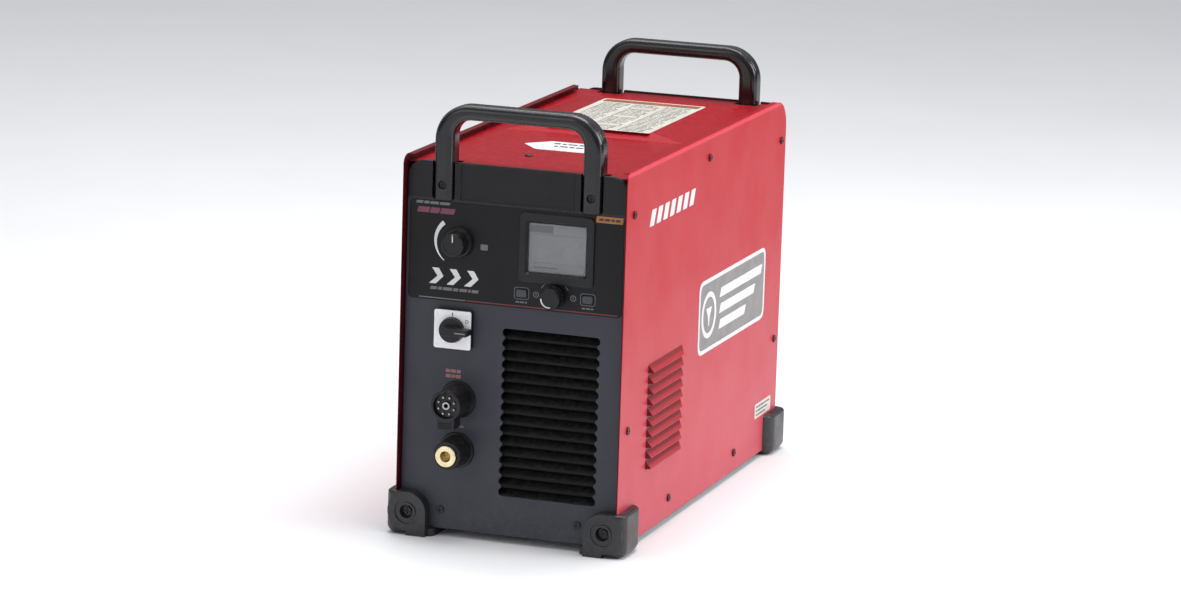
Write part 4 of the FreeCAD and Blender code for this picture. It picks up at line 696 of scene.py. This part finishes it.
# ---- top: labels and a screw ---------------------------------------------------------------------------
def top_labels():
    first, pitch = 160, 9.2               # the printed rows of the large label
    base = Piece("top_label", "label", slot="white_plastic")
    base.sticker(rect(1, 80, 134, 224, 4.0), "top", PLATFORM, 0.12)
    base.done()
    # a brown band across the label's rear end
    band = Piece("top_label_band", "brown_band", slot="overlay_film")
    band.sticker(rect(1, 178, 126, 18, 2.0), "top", PLATFORM + 0.11, 0.1)
    band.done()
    text = Piece("top_label_print", "grey_ink", slot="overlay_film")
    for row in range(21):
        v = first - pitch * row
        for column in range(3):
            k = (row * 3 + column * 2) % 5
            if column == 1 and row % 7 in (2, 3):
                continue
            print_row(text, "top", PLATFORM + 0.12, -58 + 41.5 * column, v, 36 - 3 * (k % 3), 3.4,
                      TEXT[k % 3:k % 3 + 4], 0.0, 1.6)
    for row in (2.5, 9.5, 16.5):
        v = first - pitch * row
        ring, hole = rect(1.5, v, 34, 15, 2.0), rect(1.5, v, 31, 12, 1.4)
        text.sticker(ring, "top", PLATFORM + 0.12, holes=[hole[::-1]])
    text.done()

    label = Piece("deck_label", "white", slot="white_plastic")
    pointed = [(-57, -128), (-32, -158), (34, -158), (34, -98), (-32, -98)]
    label.sticker(rounded(pointed, 2.0), "top", DECK, 0.12)
    label.done()
    text = Piece("deck_label_print", "dark_ink", slot="overlay_film")
    for k in range(2):
        print_row(text, "top", DECK + 0.12, -24 + 6 * k, -112 - 18 * k, 50 - 8 * k, 6.0,
                  TEXT[k:k + 5], 0.0, 2.4)
    text.done()

    screw = Piece("deck_screw", "screw", slot="screw_black")
    head = [(0, 1.0), (1.9, 1.0), (1.9, 2.3), (3.6, 2.1), (4.5, 1.3), (4.8, 0.0), (4.8, -0.1), (0, -0.1)]
    screw.turned(head, (-22, -208, DECK), "z", 24)
    screw.done(smooth=True)


top_labels()


# ---- handles: raised beads round both faces, pale as a painted highlight on each rounded edge ----------
HANDLE_LEGS = (80, 104)               # inner and outer faces of the legs
HANDLE_BAR = (501, 519)               # under side and top of the bar
HANDLE_BENDS = (20, 42)               # inner and outer
HANDLE_FACES = (281, 308)
HANDLE_FILLET = 7.5


def handle_contour(half, top, bend, y, low=450):
    """A bail's outline in the plane y: up one leg, round and down the other."""
    points = [Vector((-half, y, low))]
    for side, start in ((-1, 180), (1, 90)):
        for k in range(13):
            a = math.radians(start - 90 * k / 12)
            points.append(Vector((side * (half - bend) + bend * math.cos(a), y,
                                  top - bend + bend * math.sin(a))))
    return points + [Vector((half, y, low))]


def handle_beads():
    """Thin raised lines along the middle of each rounded edge, pale as a painted highlight."""
    sunk = HANDLE_FILLET * (1 - math.sqrt(0.5)) - 0.15
    for name, sign in (("front_handle_beads", -1), ("rear_handle_beads", 1)):
        beads = Piece(name, "bead_highlight", slot="handle_plastic")
        for face in (HANDLE_FACES[0] + sunk, HANDLE_FACES[1] - sunk):
            for half, top, bend, inset in zip(HANDLE_LEGS, HANDLE_BAR, HANDLE_BENDS, (sunk, -sunk)):
                contour = handle_contour(half + inset, top + inset, bend + inset, sign * face)
                beads.tube(contour, 0.75, Vector((0, 1, 0)))
        beads.done(smooth=True)


handle_beads()


# ---- rear: data plate, gauge, knob and fan marks -------------------------------------------------------
def rear_details():
    u, v = -46.0, 338.0
    plate = Piece("data_plate", "silver_plate", slot="plate_silver")
    plate.sticker(rect(u, v, 96, 62, 3.0), "rear", REAR, 0.4)
    plate.done()
    rivets = Piece("data_plate_rivets", "steel", slot="plain_steel")
    dome = [(0, 0.9), (1.0, 0.8), (1.9, 0.3), (2.1, -0.3), (0, -0.3)]
    for du in (-44, 44):
        for dv in (-27, 27):
            rivets.turned(dome, (-(u + du), REAR + 0.4, v + dv), "y", 18)
    rivets.done(smooth=True)
    text = Piece("data_plate_print", "dark_ink", slot="overlay_film")
    text.sticker(rect(u, v + 22, 78, 9, 1.0), "rear", REAR + 0.4, 0.08)
    for row in range(6):
        text.sticker(rect(u, v + 14.5 - 7 * row, 80, 0.4), "rear", REAR + 0.4, 0.08)
        for column in range(3):
            k = (row + 2 * column) % 4
            print_row(text, "rear", REAR + 0.36, u - 38 + 27 * column, v + 11 - 7 * row,
                      21 - 3 * (k % 3), 2.2, TEXT[k:k + 3], 0.0, 1.0)
    text.done()
    tags = Piece("rear_tags", "grey_ink", slot="overlay_film")
    for tag_v, width in ((318, 30), (252, 24), (203, 20)):
        print_row(tags, "rear", REAR, 88 - width / 2, tag_v, width, 3.0, TEXT[:4], 0.0, 1.4)
    tags.done()

    gu, gv, dial = 84.0, 142.0, 344.4
    face = Piece("gauge_dial", "label", slot="white_plastic")
    face.prism(disc(gu, gv, 18.0, 64), "rear", dial - 0.05, dial + 0.15)
    face.done()
    ticks = Piece("gauge_ticks", "dark_ink", slot="overlay_film")
    for k in range(28):
        a = math.radians(225 - 10 * k)
        inner, half = (12.6 if k % 3 == 0 else 14.2), (0.35 if k % 3 == 0 else 0.18)
        along, side = (math.cos(a), math.sin(a)), (-math.sin(a) * half, math.cos(a) * half)
        corners = [(gu + along[0] * r + side[0] * s, gv + along[1] * r + side[1] * s)
                   for r, s in ((inner, -1), (16.4, -1), (16.4, 1), (inner, 1))]
        ticks.sticker(corners, "rear", dial + 0.15, 0.05)
    print_row(ticks, "rear", dial + 0.15, gu - 5, gv - 10, 10, 1.6, (3, 2, 3), 0.0, 0.8)
    ticks.done()
    needle = Piece("gauge_needle", "needle", slot="black_plastic")
    needle.prism(rounded([(gu - 1.2, gv - 3.6), (gu + 1.8, gv - 3.2), (gu - 7.0, gv + 11.0)], 0.3), "rear",
                 dial + 0.3, dial + 0.55)
    needle.prism(disc(gu, gv, 2.2, 24), "rear", dial + 0.1, dial + 0.75)
    needle.done()
    glass = Piece("gauge_glass", "window", slot="window_clear")
    glass.prism(disc(gu, gv, 18.15, 64), "rear", dial + 0.9, dial + 1.3)
    glass.done()

    arrow = Piece("regulator_arrow", "white", "regulator_knob", "white_plastic")
    ru, rv, knob_top = -84.0, 325.0, 205.0
    arrow.sticker(arc_band(ru, rv, 9.0, 35, 150, 1.4, 1.4, 20), "top", knob_top, 0.1)
    arrow.sticker([(ru + 9.9, rv + 3.4), (ru + 4.4, rv + 6.2), (ru + 9.2, rv + 8.6)], "top", knob_top, 0.1)
    arrow.done()
    hub = Piece("fan_label", "silver_plate", "fan", "plate_silver")
    fu, fv, hub_face = -46.0, 152.0, 296.3
    hub.sticker(disc(fu, fv, 15.5, 48), "rear", hub_face, 0.1)
    hub.done()
    text = Piece("fan_label_print", "dark_ink", "fan", "overlay_film")
    for k in range(3):
        print_row(text, "rear", hub_face + 0.08, fu - 9 + k, fv + 4 - 4.5 * k, 18 - 2 * k, 1.8,
                  TEXT[k:k + 3], 0.0, 1.0)
    text.done()


rear_details()


# ---- stage ---------------------------------------------------------------------------------------------
def area_light(name, place, target, size, watts):
    data = bpy.data.lights.new(name, "AREA")
    data.shape = "RECTANGLE"
    data.size, data.size_y = size
    data.energy = watts
    lamp = bpy.data.objects.new(name, data)
    bpy.context.scene.collection.objects.link(lamp)
    lamp.location = place
    lamp.rotation_mode = "QUATERNION"
    lamp.rotation_quaternion = (Vector(target) - Vector(place)).to_track_quat("-Z", "Y")


def stage():
    look = Look("studio_floor", linear(247, 247, 248), 0.6)
    look.mottled(linear(241, 241, 243), 1.5, 0.6).smudged(0.08, 6.0).grain(300.0, 0.00002)
    floor_mesh = bpy.data.meshes.new("studio_floor")
    half = 40.0
    corners = [(-half, -half, 0), (half, -half, 0), (half, half, 0), (-half, half, 0)]
    floor_mesh.from_pydata(corners, [], [(0, 1, 2, 3)])
    floor_mesh.materials.append(look.done())
    floor = bpy.data.objects.new("studio_floor", floor_mesh)
    bpy.context.scene.collection.objects.link(floor)

    world = bpy.data.worlds.new("studio")
    bpy.context.scene.world = world
    world.use_nodes = True
    nodes, links = world.node_tree.nodes, world.node_tree.links
    upward = nodes.new("ShaderNodeSeparateXYZ")
    links.new(nodes.new("ShaderNodeTexCoord").outputs["Generated"], upward.inputs[0])
    dome = nodes.new("ShaderNodeMapRange")
    for socket, value in zip(dome.inputs[1:5], (0.1, 0.9, 0.12, 0.72)):
        socket.default_value = value
    links.new(upward.outputs[2], dome.inputs[0])
    links.new(dome.outputs[0], nodes["Background"].inputs["Strength"])
    nodes["Background"].inputs["Color"].default_value = (0.95, 0.96, 1.0, 1.0)
    bpy.context.scene.view_settings.view_transform = "Standard"

    area_light("overhead", (0.3, 0.0, 3.4), (0.1, 0, 0.2), (1.7, 1.7), 76)
    area_light("side", (2.9, 0.1, 1.7), (0, 0, 0.22), (1.5, 1.5), 50)
    area_light("rim", (1.5, 2.2, 1.2), (0, 0, 0.35), (0.7, 0.7), 6)
    area_light("fill", (-1.6, -3.4, 1.5), (0, 0, 0.25), (1.8, 1.8), 14)
    area_light("rear", (-1.2, 1.4, 3.3), (0, 0, 0.25), (1.6, 1.4), 20)


stage()
